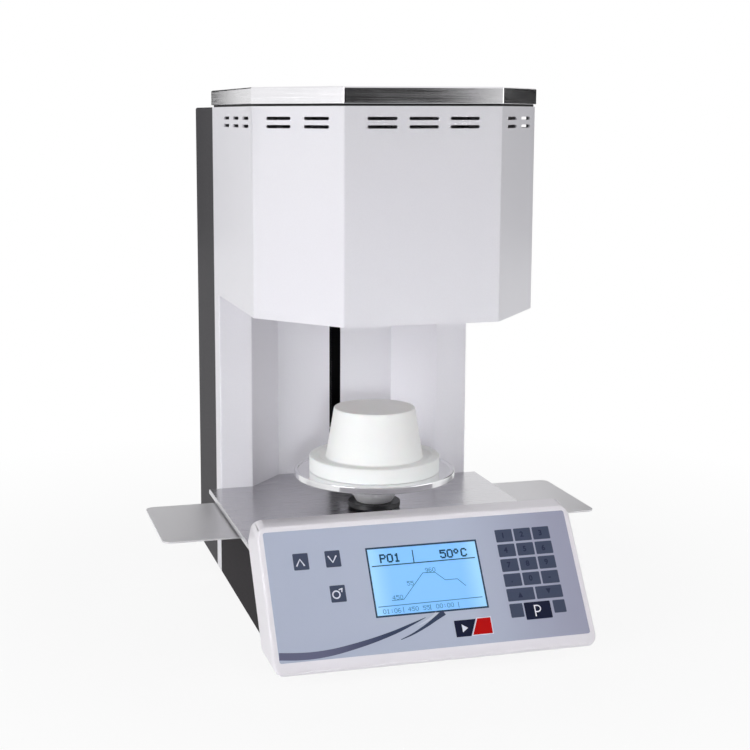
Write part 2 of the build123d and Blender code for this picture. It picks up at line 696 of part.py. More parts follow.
rear_panel.part.label = "rear_panel"
export_step(rear_panel.part, "parts/rear_panel.step")

with BuildPart() as rear_panel_screws:
    with BuildSketch(back_plane(REAR_FACE)):
        with Locations(*rear_screw_spots):
            Circle(SCREW_HEAD_RADIUS)
    extrude(amount=SCREW_HEAD_HEIGHT)
    fillet(rear_panel_screws.faces().sort_by(Axis.Y)[-len(rear_screw_spots):].edges(), SCREW_HEAD_EDGE)
    with BuildSketch(back_plane(REAR_FACE + SCREW_HEAD_HEIGHT)):
        with Locations(*rear_screw_spots):
            RegularPolygon(SCREW_SOCKET, 6)
    extrude(amount=-SCREW_SOCKET_DEPTH, mode=Mode.SUBTRACT)
rear_panel_screws.part.label = "rear_panel_screws"
export_step(rear_panel_screws.part, "parts/rear_panel_screws.step")

# ---- heating head ----

# White cover: front, two chamfers and two sides from one sheet, with two rows of vent slots.
vent_rows = [HEAD_TOP - VENT_DROP - VENT_ROW * row for row in range(VENT_ROWS)]


def face_run(start, end):
    """Upright plane on a wall of the cover: x along the wall from its start, y up, z outwards."""
    run = (Vector(*end) - Vector(*start)).normalized()
    return Plane(origin=(start[0], start[1], 0), x_dir=(run.X, run.Y, 0), z_dir=(run.Y, -run.X, 0))


chamfer_run = sqrt((HALF_WIDTH - FRONT_HALF_WIDTH) ** 2 + (HEAD_FRONT - HEAD_SHOULDER) ** 2)
vented_walls = [
    (head_line[1], head_line[2], [chamfer_run / 2 + k * VENT_PITCH_CHAMFER for k in (-0.5, 0.5)]),
    (head_line[2], head_line[3], [FRONT_HALF_WIDTH + k * VENT_PITCH_FRONT for k in (-1, 0, 1)]),
    (head_line[3], head_line[4], [chamfer_run / 2 + k * VENT_PITCH_CHAMFER for k in (-0.5, 0.5)]),
    (head_line[0], head_line[1], [
        HEAD_SHOULDER + FLANGE_BACK - VENT_SIDE_START - k * VENT_PITCH_SIDE for k in range(SIDE_VENTS)
    ]),
    (head_line[4], head_line[5], [
        VENT_SIDE_START + k * VENT_PITCH_SIDE for k in range(SIDE_VENTS)
    ]),
]
with BuildPart() as head_cover:
    with BuildSketch(Plane.XY.offset(HEAD_BOTTOM)):
        with BuildLine():
            Polyline(*mitred(head_line, SHEET), close=True)
        make_face()
    extrude(amount=HEAD_TOP - HEAD_BOTTOM)
    fillet(upright_edges(head_cover, head_line[1:5]), BEND)
    with BuildSketch(Plane.XY.offset(HEAD_TOP - SHEET)):
        with BuildLine():
            Polyline(*mitred(inner_head_line, RETURN_WIDTH), close=True)
        make_face()
    extrude(amount=SHEET)
    for start, end, middles in vented_walls:
        with BuildSketch(face_run(start, end)):
            with Locations(*[(x, z) for x in middles for z in vent_rows]):
                SlotOverall(VENT_LENGTH, VENT_HEIGHT)
        extrude(amount=-2 * SHEET, mode=Mode.SUBTRACT)
head_cover.part.label = "head_cover"
export_step(head_cover.part, "parts/head_cover.step")

# Floor plate of the head with the round opening that the lift plate enters.
with BuildPart() as head_floor:
    with BuildSketch(Plane.XY.offset(HEAD_BOTTOM)):
        with BuildLine():
            Polyline(*inner_head_line, *recess_tongue, close=True)
        make_face()
        with Locations((0, AXIS_Y)):
            Circle(PLATE_RADIUS + PLATE_OPENING_GAP, mode=Mode.SUBTRACT)
    extrude(amount=SHEET)
head_floor.part.label = "head_floor"
export_step(head_floor.part, "parts/head_floor.step")

# Brackets that carry the head floor from the column's flanges.
flange_y = AXIS_Y + FLANGE_BACK
bracket_x = HALF_WIDTH - BRACKET_INSET
with BuildPart() as head_brackets:
    for side in (-1, 1):
        with BuildSketch(Plane.YZ.offset(side * bracket_x - BRACKET_SHEET / 2)):
            with BuildLine():
                Polyline(
                    (flange_y, FLOOR_TOP),
                    (flange_y, FLOOR_TOP + BRACKET_HEIGHT),
                    (flange_y - BRACKET_FOOT, FLOOR_TOP + BRACKET_HEIGHT),
                    (flange_y - BRACKET_LENGTH, FLOOR_TOP + BRACKET_FOOT),
                    (flange_y - BRACKET_LENGTH, FLOOR_TOP),
                    close=True,
                )
            make_face()
        extrude(amount=BRACKET_SHEET)
        with BuildSketch(Plane.XY.offset(FLOOR_TOP)):
            with Locations((side * bracket_x, flange_y - BRACKET_LENGTH / 2)):
                Rectangle(BRACKET_FOOT, BRACKET_LENGTH)
        extrude(amount=BRACKET_SHEET)
        with BuildSketch(Plane.XY.offset(FLOOR_TOP)):
            with Locations((side * bracket_x, flange_y - BRACKET_SHEET / 2)):
                Rectangle(BRACKET_FOOT, BRACKET_SHEET)
        extrude(amount=BRACKET_HEIGHT)
head_brackets.part.label = "head_brackets"
export_step(head_brackets.part, "parts/head_brackets.step")

# Dark gasket strip between the cover and the lid.
with BuildPart() as lid_gasket:
    with BuildSketch(Plane.XY.offset(HEAD_TOP)):
        with BuildLine():
            Polyline(*inset(lid_line, GASKET_SETBACK), close=True)
        make_face()
        with BuildLine():
            Polyline(*inset(lid_line, GASKET_SETBACK + GASKET_WIDTH), close=True)
        make_face(mode=Mode.SUBTRACT)
    extrude(amount=SEAM_GAP)
lid_gasket.part.label = "lid_gasket"
export_step(lid_gasket.part, "parts/lid_gasket.step")

# Stainless lid: a folded tray with a return that stands on the gasket.
lid_foot = HEAD_TOP + SEAM_GAP
with BuildPart() as lid:
    with BuildSketch(Plane.XY.offset(lid_foot)):
        with BuildLine():
            Polyline(*inset(lid_line, -LID_OUTSET), close=True)
        make_face()
    extrude(amount=LID_HEIGHT)
    fillet(lid.edges().filter_by(Axis.Z), LID_EDGE)
    fillet(lid.faces().sort_by(Axis.Z)[-1].edges(), LID_EDGE)
    with BuildSketch(Plane.XY.offset(lid_foot + STAINLESS)):
        with BuildLine():
            Polyline(*inset(lid_line, STAINLESS - LID_OUTSET), close=True)
        make_face()
    extrude(amount=LID_HEIGHT - 2 * STAINLESS, mode=Mode.SUBTRACT)
    with BuildSketch(Plane.XY.offset(lid_foot)):
        with BuildLine():
            Polyline(*inset(lid_line, LID_RETURN), close=True)
        make_face()
    extrude(amount=STAINLESS, mode=Mode.SUBTRACT)
lid.part.label = "lid"
export_step(lid.part, "parts/lid.step")

# Sealing ring on the head floor, with the groove of its seal underneath.
with BuildPart() as chamber_ring:
    with BuildSketch(LIFT_AXIS.offset(FLOOR_TOP)):
        Circle(RING_OUTER)
        Circle(RING_INNER, mode=Mode.SUBTRACT)
    extrude(amount=RING_HEIGHT)
    with BuildSketch(LIFT_AXIS.offset(FLOOR_TOP)):
        Circle(SEAL_INNER + SEAL_WIDTH)
        Circle(SEAL_INNER, mode=Mode.SUBTRACT)
    extrude(amount=SEAL_DEPTH, mode=Mode.SUBTRACT)
chamber_ring.part.label = "chamber_ring"
export_step(chamber_ring.part, "parts/chamber_ring.step")

with BuildPart() as ring_seal:
    with BuildSketch(LIFT_AXIS.offset(FLOOR_TOP - SEAL_PROUD)):
        Circle(SEAL_INNER + SEAL_WIDTH)
        Circle(SEAL_INNER, mode=Mode.SUBTRACT)
    extrude(amount=SEAL_DEPTH + SEAL_PROUD)
    fillet(ring_seal.faces().sort_by(Axis.Z)[0].edges(), SEAL_EDGE)
ring_seal.part.label = "ring_seal"
export_step(ring_seal.part, "parts/ring_seal.step")

# Vacuum can: a turned steel pot upside down on the ring, with a port at its back.
with BuildPart() as vacuum_can:
    with BuildSketch(LIFT_AXIS.offset(RING_TOP)):
        Circle(CAN_RADIUS)
    extrude(amount=CAN_TOP - RING_TOP)
    with BuildSketch(LIFT_AXIS.offset(RING_TOP)):
        Circle(RING_OUTER)
    extrude(amount=CAN_FLANGE)
    with BuildSketch(Plane.XZ.offset(-(AXIS_Y + CAN_RADIUS - PORT_START))):
        with Locations((0, PIPE_Z)):
            Circle(PIPE_RADIUS + 2 * CAN_WALL)
    extrude(amount=-(PORT_START + PORT_LENGTH))
    with BuildSketch(LIFT_AXIS.offset(RING_TOP)):
        Circle(CAN_RADIUS - CAN_WALL)
    extrude(amount=CAN_TOP - CAN_WALL - RING_TOP, mode=Mode.SUBTRACT)
    with BuildSketch(Plane.XZ.offset(-(AXIS_Y + CAN_RADIUS + PORT_LENGTH / 2))):
        with Locations((0, PIPE_Z)):
            Circle(PIPE_RADIUS)
    extrude(amount=-PORT_LENGTH, mode=Mode.SUBTRACT)
    with BuildSketch(LIFT_AXIS.offset(CAN_TOP - CAN_WALL)):
        with Locations((0, 0), (-TERMINAL_SPREAD, 0), (TERMINAL_SPREAD, 0)):
            Circle(PROBE_RADIUS + SEAT_GAP)
    extrude(amount=CAN_WALL, mode=Mode.SUBTRACT)
vacuum_can.part.label = "vacuum_can"
export_step(vacuum_can.part, "parts/vacuum_can.step")

# Fibre insulation: the lower ring has a tapered hole that the table's plug closes.
plug_run = (TABLE_CONE_FOOT - TABLE_CONE_TOP) / (TABLE_HEIGHT - TABLE_FLANGE_HEIGHT)
plug_floor_radius = TABLE_CONE_FOOT + PLUG_GAP
plug_top_radius = plug_floor_radius - plug_run * (CHAMBER_FLOOR - PLUG_FLOOR)
with BuildPart() as insulation_lower:
    with BuildSketch(Plane.XZ.offset(-AXIS_Y)):
        with BuildLine():
            Polyline(
                (RING_INNER, RING_TOP),
                (INSULATION_RADIUS, RING_TOP),
                (INSULATION_RADIUS, CHAMBER_FLOOR),
                (plug_top_radius, CHAMBER_FLOOR),
                (plug_floor_radius, PLUG_FLOOR),
                (RING_INNER, PLUG_FLOOR),
                close=True,
            )
        make_face()
    revolve(axis=Axis((0, AXIS_Y, 0), (0, 0, 1)))
insulation_lower.part.label = "insulation_lower"
export_step(insulation_lower.part, "parts/insulation_lower.step")

winding_inner = CHAMBER_RADIUS + QUARTZ_WALL
winding_outer = winding_inner + WINDING_WALL
with BuildPart() as insulation_side:
    with BuildSketch(LIFT_AXIS.offset(CHAMBER_FLOOR)):
        Circle(INSULATION_RADIUS)
        Circle(winding_outer, mode=Mode.SUBTRACT)
    extrude(amount=CHAMBER_HEIGHT)
insulation_side.part.label = "insulation_side"
export_step(insulation_side.part, "parts/insulation_side.step")

with BuildPart() as insulation_top:
    with BuildSketch(LIFT_AXIS.offset(CHAMBER_CEILING)):
        Circle(INSULATION_RADIUS)
        with Locations((0, 0), (-TERMINAL_SPREAD, 0), (TERMINAL_SPREAD, 0)):
            Circle(PROBE_RADIUS + SEAT_GAP, mode=Mode.SUBTRACT)
    extrude(amount=TOP_INSULATION)
insulation_top.part.label = "insulation_top"
export_step(insulation_top.part, "parts/insulation_top.step")

# Quartz tube of the firing chamber, and the heater wound round it.
with BuildPart() as quartz_muffle:
    with BuildSketch(LIFT_AXIS.offset(CHAMBER_FLOOR)):
        Circle(CHAMBER_RADIUS + QUARTZ_WALL)
        Circle(CHAMBER_RADIUS, mode=Mode.SUBTRACT)
    extrude(amount=CHAMBER_HEIGHT)
quartz_muffle.part.label = "quartz_muffle"
export_step(quartz_muffle.part, "parts/quartz_muffle.step")

with BuildPart() as heater_winding:
    with BuildSketch(LIFT_AXIS.offset(CHAMBER_FLOOR)):
        Circle(winding_outer)
        Circle(winding_inner, mode=Mode.SUBTRACT)
    extrude(amount=CHAMBER_HEIGHT)
heater_winding.part.label = "heater_winding"
export_step(heater_winding.part, "parts/heater_winding.step")

# Thermocouple: a thin sheath into the chamber, with its ceramic head on the can.
with BuildPart() as thermocouple:
    with BuildSketch(LIFT_AXIS.offset(PROBE_TIP)):
        Circle(PROBE_RADIUS)
    extrude(amount=CAN_TOP - PROBE_TIP)
    with BuildSketch(LIFT_AXIS.offset(CAN_TOP)):
        Circle(PROBE_HEAD_RADIUS)
    extrude(amount=PROBE_HEAD_HEIGHT)
thermocouple.part.label = "thermocouple"
export_step(thermocouple.part, "parts/thermocouple.step")

# Heater terminals: two posts from the winding out through the can, each with an insulator.
with BuildPart() as heater_terminals:
    for side in (-1, 1):
        with BuildSketch(LIFT_AXIS.offset(CHAMBER_CEILING)):
            with Locations((side * TERMINAL_SPREAD, 0)):
                Circle(TERMINAL_RADIUS)
        extrude(amount=CAN_TOP - CHAMBER_CEILING + TERMINAL_RISE)
        with BuildSketch(LIFT_AXIS.offset(CAN_TOP)):
            with Locations((side * TERMINAL_SPREAD, 0)):
                Circle(TERMINAL_INSULATOR)
        extrude(amount=TERMINAL_RISE / 2)
heater_terminals.part.label = "heater_terminals"
export_step(heater_terminals.part, "parts/heater_terminals.step")

# ---- vacuum line ----

pipe_start = AXIS_Y + CAN_RADIUS + PORT_LENGTH / 2
valve_front = REAR_INNER - PIPE_RADIUS - VALVE_SIZE[1]
with BuildPart() as vacuum_pipe:
    with BuildSketch(Plane.XZ.offset(-pipe_start)):
        with Locations((0, PIPE_Z)):
            Circle(PIPE_RADIUS)
            Circle(PIPE_RADIUS - CAN_WALL, mode=Mode.SUBTRACT)
    extrude(amount=-(valve_front - pipe_start))
vacuum_pipe.part.label = "vacuum_pipe"
export_step(vacuum_pipe.part, "parts/vacuum_pipe.step")

# Solenoid valve: a brass block in the line with its round coil on top.
with BuildPart() as vacuum_valve:
    with BuildSketch(Plane.XZ.offset(-valve_front)):
        with Locations((0, PIPE_Z)):
            Rectangle(VALVE_SIZE[0], VALVE_SIZE[2])
    extrude(amount=-VALVE_SIZE[1])
    chamfer(vacuum_valve.edges().filter_by(Axis.Y), VALVE_EDGE)
    with BuildSketch(Plane.XY.offset(PIPE_Z + VALVE_SIZE[2] / 2)):
        with Locations((0, valve_front + VALVE_SIZE[1] / 2)):
            Circle(COIL_RADIUS)
    extrude(amount=COIL_HEIGHT)
vacuum_valve.part.label = "vacuum_valve"
export_step(vacuum_valve.part, "parts/vacuum_valve.step")

# Vacuum port: a stub through the rear panel, clamped by a hexagon collar outside.
port_tip = REAR_FACE + PORT_REACH
with BuildPart() as vacuum_port:
    with BuildSketch(back_plane(valve_front + VALVE_SIZE[1])):
        with Locations((0, PIPE_Z)):
            Circle(PIPE_RADIUS)
    extrude(amount=port_tip - valve_front - VALVE_SIZE[1])
    with BuildSketch(back_plane(REAR_FACE)):
        with Locations((0, PIPE_Z)):
            RegularPolygon(COLLAR_RADIUS, 6)
    extrude(amount=COLLAR_LENGTH)
    with BuildSketch(back_plane(port_tip)):
        with Locations((0, PIPE_Z)):
            Circle(PIPE_RADIUS - CAN_WALL)
    extrude(amount=-PORT_REACH, mode=Mode.SUBTRACT)
    chamfer(vacuum_port.faces().sort_by(Axis.Y)[-1].edges().sort_by(SortBy.RADIUS)[-1], CAN_WALL / 2)
vacuum_port.part.label = "vacuum_port"
export_step(vacuum_port.part, "parts/vacuum_port.step")

# ---- lift ----

# Polished plate: a shallow dish with a raised rim, thicker towards the hub.
rim_foot = PLATE_TOP - PLATE_RIM_HEIGHT
with BuildPart() as lift_plate:
    with BuildSketch(Plane.XZ.offset(-AXIS_Y)):
        with BuildLine():
            Polyline(
                (0, HUB_TOP),
                (HUB_TOP_RADIUS, HUB_TOP),
                (PLATE_RADIUS, rim_foot),
                (PLATE_RADIUS, PLATE_TOP),
                (PLATE_RADIUS - PLATE_RIM_WIDTH, PLATE_TOP),
                (PLATE_RADIUS - PLATE_RIM_WIDTH - PLATE_DISH, TABLE_FOOT),
                (SPIGOT_RADIUS + SEAT_GAP, TABLE_FOOT),
                (SPIGOT_RADIUS + SEAT_GAP, TABLE_FOOT - SPIGOT_LENGTH - SEAT_GAP),
                (0, TABLE_FOOT - SPIGOT_LENGTH - SEAT_GAP),
                close=True,
            )
        face = make_face()
        rim_corners = face.vertices().filter_by_position(Axis.X, PLATE_RADIUS, PLATE_RADIUS)
        fillet(rim_corners, PLATE_ROLL)
    revolve(axis=Axis((0, AXIS_Y, 0), (0, 0, 1)))
lift_plate.part.label = "lift_plate"
export_step(lift_plate.part, "parts/lift_plate.step")

# Ceramic firing table: a flange that stands on the plate, and a tapered plug.
flange_top = TABLE_FOOT + TABLE_FLANGE_HEIGHT
table_top = TABLE_FOOT + TABLE_HEIGHT
with BuildPart() as firing_table:
    with BuildSketch(Plane.XZ.offset(-AXIS_Y)):
        with BuildLine():
            Polyline(
                (0, TABLE_FOOT - SPIGOT_LENGTH),
                (SPIGOT_RADIUS, TABLE_FOOT - SPIGOT_LENGTH),
                (SPIGOT_RADIUS, TABLE_FOOT),
                (TABLE_FLANGE_RADIUS, TABLE_FOOT),
                (TABLE_FLANGE_RADIUS, flange_top),
                (TABLE_GROOVE_RADIUS, flange_top),
                (TABLE_GROOVE_RADIUS - TABLE_GROOVE_DEPTH, flange_top - TABLE_GROOVE_DEPTH),
                (TABLE_CONE_FOOT, flange_top - TABLE_GROOVE_DEPTH),
                (TABLE_CONE_TOP, table_top),
                (0, table_top),
                close=True,
            )
        face = make_face()
        corners = face.vertices()
        flange_corner = corners.filter_by_position(Axis.X, TABLE_FLANGE_RADIUS, TABLE_FLANGE_RADIUS)
        cone_corner = corners.filter_by_position(Axis.X, TABLE_CONE_TOP, TABLE_CONE_TOP)
        fillet(flange_corner.sort_by(Axis.Y)[-1], TABLE_EDGE)
        fillet(cone_corner, TABLE_EDGE)
    revolve(axis=Axis((0, AXIS_Y, 0), (0, 0, 1)))
firing_table.part.label = "firing_table"
export_step(firing_table.part, "parts/firing_table.step")

# Tapered stainless hub between plate and arm.
with BuildPart() as lift_hub:
    with BuildSketch(LIFT_AXIS.offset(HUB_FOOT)):
        Circle(HUB_FOOT_RADIUS)
    with BuildSketch(LIFT_AXIS.offset(HUB_TOP)):
        Circle(HUB_TOP_RADIUS)
    loft()
lift_hub.part.label = "lift_hub"
export_step(lift_hub.part, "parts/lift_hub.step")

# Black arm: a round boss under the hub, a bar through the slot and a pad on the carriage.
carriage_front = DRIVE_Y - CARRIAGE_SIZE[1] / 2
carriage_foot = ARM_FOOT
pad_front = carriage_front - ARM_PAD_THICKNESS
bar_start = AXIS_Y + HUB_TOP_RADIUS + PLATE_RIM_WIDTH
with BuildPart() as lift_arm:
    with BuildSketch(LIFT_AXIS.offset(ARM_FOOT)):
        Circle(BOSS_RADIUS)
        with Locations((0, (pad_front - AXIS_Y) / 2)):
            Rectangle(ARM_WIDTH, pad_front - AXIS_Y)
    extrude(amount=BOSS_HEIGHT)
    with BuildSketch(Plane.XY.offset(ARM_FOOT)):
        with Locations((0, (bar_start + pad_front) / 2)):
            Rectangle(ARM_WIDTH, pad_front - bar_start)
    extrude(amount=ARM_HEIGHT)
    with BuildSketch(Plane.XY.offset(carriage_foot)):
        with Locations((0, pad_front + ARM_PAD_THICKNESS / 2)):
            Rectangle(ARM_PAD_WIDTH, ARM_PAD_THICKNESS)
    extrude(amount=CARRIAGE_SIZE[2])
lift_arm.part.label = "lift_arm"
export_step(lift_arm.part, "parts/lift_arm.step")

# Carriage on two rods, driven by the nut.
rod_spots = [(-ROD_SPREAD, DRIVE_Y), (ROD_SPREAD, DRIVE_Y)]
bush_radius = ROD_RADIUS + SHAFT_GAP + BUSH_WALL
nut_radius = SCREW_RADIUS + SHAFT_GAP + NUT_WALL
carriage_corners = [
    (x * CARRIAGE_SIZE[0] / 2, DRIVE_Y + y * CARRIAGE_SIZE[1] / 2) for x in (-1, 1) for y in (-1, 1)
]
with BuildPart() as lift_carriage:
    with BuildSketch(Plane.XY.offset(carriage_foot)):
        with Locations((0, DRIVE_Y)):
            Rectangle(CARRIAGE_SIZE[0], CARRIAGE_SIZE[1])
        with Locations(*rod_spots):
            Circle(bush_radius, mode=Mode.SUBTRACT)
        with Locations((0, DRIVE_Y)):
            Circle(nut_radius, mode=Mode.SUBTRACT)
    extrude(amount=CARRIAGE_SIZE[2])
    chamfer(upright_edges(lift_carriage, carriage_corners), CARRIAGE_EDGE)
lift_carriage.part.label = "lift_carriage"
export_step(lift_carriage.part, "parts/lift_carriage.step")

with BuildPart() as carriage_bushes:
    with BuildSketch(Plane.XY.offset(carriage_foot)):
        with Locations(*rod_spots):
            Circle(bush_radius)
            Circle(ROD_RADIUS + SHAFT_GAP, mode=Mode.SUBTRACT)
    extrude(amount=CARRIAGE_SIZE[2])
carriage_bushes.part.label = "carriage_bushes"
export_step(carriage_bushes.part, "parts/carriage_bushes.step")

with BuildPart() as lead_nut:
    with BuildSketch(Plane.XY.offset(carriage_foot - NUT_FLANGE)):
        with Locations((0, DRIVE_Y)):
            Circle(NUT_FLANGE_RADIUS)
    extrude(amount=NUT_FLANGE)
    with BuildSketch(Plane.XY.offset(carriage_foot)):
        with Locations((0, DRIVE_Y)):
            Circle(nut_radius)
    extrude(amount=CARRIAGE_SIZE[2])
    with BuildSketch(Plane.XY.offset(carriage_foot - NUT_FLANGE)):
        with Locations((0, DRIVE_Y)):
            Circle(SCREW_RADIUS + SHAFT_GAP)
    extrude(amount=NUT_FLANGE + CARRIAGE_SIZE[2], mode=Mode.SUBTRACT)
lead_nut.part.label = "lead_nut"
export_step(lead_nut.part, "parts/lead_nut.step")

# Motor under a C-shaped bracket that also holds the rods' feet and the screw's lower bearing;
# the coupling turns inside the bracket.
motor_foot = SHEET_FLOOR + MOTOR_FLOOR_GAP
motor_top = motor_foot + MOTOR_HEIGHT
bracket_top = motor_top + MOTOR_BRACKET
coupling_foot = bracket_top + COUPLING_GAP
coupling_middle = coupling_foot + COUPLING_HEIGHT / 2
lower_block_foot = coupling_foot + COUPLING_HEIGHT + COUPLING_GAP / 2
lower_block_top = lower_block_foot + LOWER_BLOCK
upper_block_foot = carriage_foot + CARRIAGE_SIZE[2] + LIFT_TRAVEL + UPPER_ROOM
upper_block_top = upper_block_foot + UPPER_BLOCK
block_middle = (WALL_BACK + AXIS_Y + BLOCK_BACK) / 2
block_depth = AXIS_Y + BLOCK_BACK - WALL_BACK
with BuildPart() as drive_bracket:
    with BuildSketch(Plane.XY.offset(motor_top)):
        with Locations((0, block_middle)):
            Rectangle(2 * BLOCK_HALF_WIDTH, block_depth)
    extrude(amount=lower_block_top - motor_top)
    with BuildSketch(Plane.XY.offset(bracket_top)):
        with Locations((0, WALL_BACK + BRACKET_WEB)):
            Rectangle(2 * BLOCK_HALF_WIDTH, block_depth, align=(Align.CENTER, Align.MIN))
    extrude(amount=lower_block_foot - bracket_top, mode=Mode.SUBTRACT)
    with BuildSketch(Plane.XY.offset(motor_top)):
        with Locations((0, DRIVE_Y)):
            Circle(COUPLING_RADIUS)
    extrude(amount=MOTOR_BRACKET, mode=Mode.SUBTRACT)
    with BuildSketch(Plane.XY.offset(lower_block_foot)):
        with Locations((0, DRIVE_Y)):
            Circle(SCREW_RADIUS + SHAFT_GAP)
        with Locations(*rod_spots):
            Circle(ROD_RADIUS)
    extrude(amount=LOWER_BLOCK, mode=Mode.SUBTRACT)
drive_bracket.part.label = "drive_bracket"
export_step(drive_bracket.part, "parts/drive_bracket.step")

with BuildPart() as lift_motor:
    with BuildSketch(Plane.XY.offset(motor_foot)):
        with Locations((0, DRIVE_Y)):
            RectangleRounded(MOTOR_SIZE, MOTOR_SIZE, MOTOR_CORNER)
    extrude(amount=MOTOR_HEIGHT)
    with BuildSketch(Plane.XY.offset(motor_top)):
        with Locations((0, DRIVE_Y)):
            Circle(MOTOR_SHAFT_RADIUS + SHAFT_GAP)
    extrude(amount=-MOTOR_SHAFT_DEPTH, mode=Mode.SUBTRACT)
lift_motor.part.label = "lift_motor"
export_step(lift_motor.part, "parts/lift_motor.step")

with BuildPart() as motor_shaft:
    with BuildSketch(Plane.XY.offset(motor_top - MOTOR_SHAFT_DEPTH + RUN_GAP)):
        with Locations((0, DRIVE_Y)):
            Circle(MOTOR_SHAFT_RADIUS)
    extrude(amount=coupling_middle - motor_top + MOTOR_SHAFT_DEPTH - RUN_GAP)
motor_shaft.part.label = "motor_shaft"
export_step(motor_shaft.part, "parts/motor_shaft.step")

with BuildPart() as shaft_coupling:
    with BuildSketch(Plane.XY.offset(coupling_foot)):
        with Locations((0, DRIVE_Y)):
            Circle(COUPLING_RADIUS)
            Circle(MOTOR_SHAFT_RADIUS, mode=Mode.SUBTRACT)
    extrude(amount=COUPLING_HEIGHT / 2)
    with BuildSketch(Plane.XY.offset(coupling_middle)):
        with Locations((0, DRIVE_Y)):
            Circle(COUPLING_RADIUS)
            Circle(SCREW_RADIUS, mode=Mode.SUBTRACT)
    extrude(amount=COUPLING_HEIGHT / 2)
shaft_coupling.part.label = "shaft_coupling"
export_step(shaft_coupling.part, "parts/shaft_coupling.step")

with BuildPart() as lead_screw:
    with BuildSketch(Plane.XY.offset(coupling_middle)):
        with Locations((0, DRIVE_Y)):
            Circle(SCREW_RADIUS)
    extrude(amount=upper_block_top - coupling_middle)
lead_screw.part.label = "lead_screw"
export_step(lead_screw.part, "parts/lead_screw.step")

with BuildPart() as top_bearing_block:
    with BuildSketch(Plane.XY.offset(upper_block_foot)):
        with Locations((0, block_middle)):
            Rectangle(2 * BLOCK_HALF_WIDTH, block_depth)
        with Locations(*rod_spots):
            Circle(ROD_RADIUS, mode=Mode.SUBTRACT)
        with Locations((0, DRIVE_Y)):
            Circle(SCREW_RADIUS + SHAFT_GAP, mode=Mode.SUBTRACT)
    extrude(amount=UPPER_BLOCK)
top_bearing_block.part.label = "top_bearing_block"
export_step(top_bearing_block.part, "parts/top_bearing_block.step")

with BuildPart() as guide_rods:
    with BuildSketch(Plane.XY.offset(lower_block_foot)):
        with Locations(*rod_spots):
            Circle(ROD_RADIUS)
    extrude(amount=upper_block_top - lower_block_foot)
guide_rods.part.label = "guide_rods"
export_step(guide_rods.part, "parts/guide_rods.step")

# Limit switches on the rear side of the recess wall, beside the carriage's ends of travel.
switch_feet = (carriage_foot, carriage_foot + LIFT_TRAVEL + CARRIAGE_SIZE[2] - SWITCH_SIZE[2])
with BuildPart() as limit_switches:
    for foot in switch_feet:
        with BuildSketch(Plane.XY.offset(foot)):
            with Locations((SWITCH_OFFSET, WALL_BACK + SWITCH_SIZE[1] / 2)):
                Rectangle(SWITCH_SIZE[0], SWITCH_SIZE[1])
        extrude(amount=SWITCH_SIZE[2])
limit_switches.part.label = "limit_switches"
export_step(limit_switches.part, "parts/limit_switches.step")

# ---- control panel ----

panel_profile = [
    panel_point(0, 0),
    panel_point(0, PANEL_FACE),
    panel_point(CREST_DEPTH, CREST_RISE),
    panel_point(PANEL_DEPTH, REAR_RISE),
    panel_point(PANEL_DEPTH, PANEL_DEPTH * tan(radians(PANEL_LEAN))),
]
overlay_middle = OVERLAY_MARGIN + OVERLAY_HEIGHT / 2
screen_middle = OVERLAY_MARGIN + OVERLAY_HEIGHT - SCREEN_DROP - SCREEN_HEIGHT / 2
inner_profile = inset(panel_profile[::-1], PANEL_WALL)[::-1]
rear_top, rear_foot = inner_profile[3], inner_profile[4]
lean_y = PANEL_WALL * cos(radians(PANEL_LEAN))
lean_z = PANEL_WALL * sin(radians(PANEL_LEAN))
open_profile = inner_profile[:3] + [
    rear_top,
    (rear_top[0] + lean_y, rear_top[1] - lean_z),
    (rear_foot[0] + lean_y, rear_foot[1] - lean_z),
    rear_foot,
]
with BuildPart() as panel_housing:
    with BuildSketch(Plane.YZ.offset(-PANEL_HALF_WIDTH)):
        with BuildLine():
            Polyline(*panel_profile, close=True)
        make_face()
    extrude(amount=2 * PANEL_HALF_WIDTH)
    corner_edges = []
    for edge in panel_housing.edges():
        middle = edge.center()
        on_end = abs(abs(middle.X) - PANEL_HALF_WIDTH) < TOUCH
        for a, b in ((1, 2), (4, 0)):
            spot_y = (panel_profile[a][0] + panel_profile[b][0]) / 2
            if on_end and abs(middle.Y - spot_y) < TOUCH:
                corner_edges.append(edge)
    fillet(corner_edges, PANEL_CORNER)
    front = panel_housing.faces().sort_by(Axis((0, 0, 0), tuple(face_plane(0).z_dir)))[-1]
    fillet(front.edges(), PANEL_EDGE)
    with BuildSketch(Plane.YZ.offset(-PANEL_HALF_WIDTH + PANEL_WALL)):
        with BuildLine():
            Polyline(*open_profile, close=True)
        make_face()
    extrude(amount=2 * (PANEL_HALF_WIDTH - PANEL_WALL), mode=Mode.SUBTRACT)
    with BuildSketch(face_plane(0)):
        with Locations((0, overlay_middle)):
            RectangleRounded(OVERLAY_WIDTH, OVERLAY_HEIGHT, OVERLAY_CORNER)
    extrude(amount=-OVERLAY_SINK, mode=Mode.SUBTRACT)
    with BuildSketch(face_plane(0)):
        with Locations((0, screen_middle)):
            Rectangle(SCREEN_WIDTH - 2 * SCREEN_SEAT, SCREEN_HEIGHT - 2 * SCREEN_SEAT)
    extrude(amount=-2 * PANEL_WALL, mode=Mode.SUBTRACT)
panel_housing.part.label = "panel_housing"
export_step(panel_housing.part, "parts/panel_housing.step")

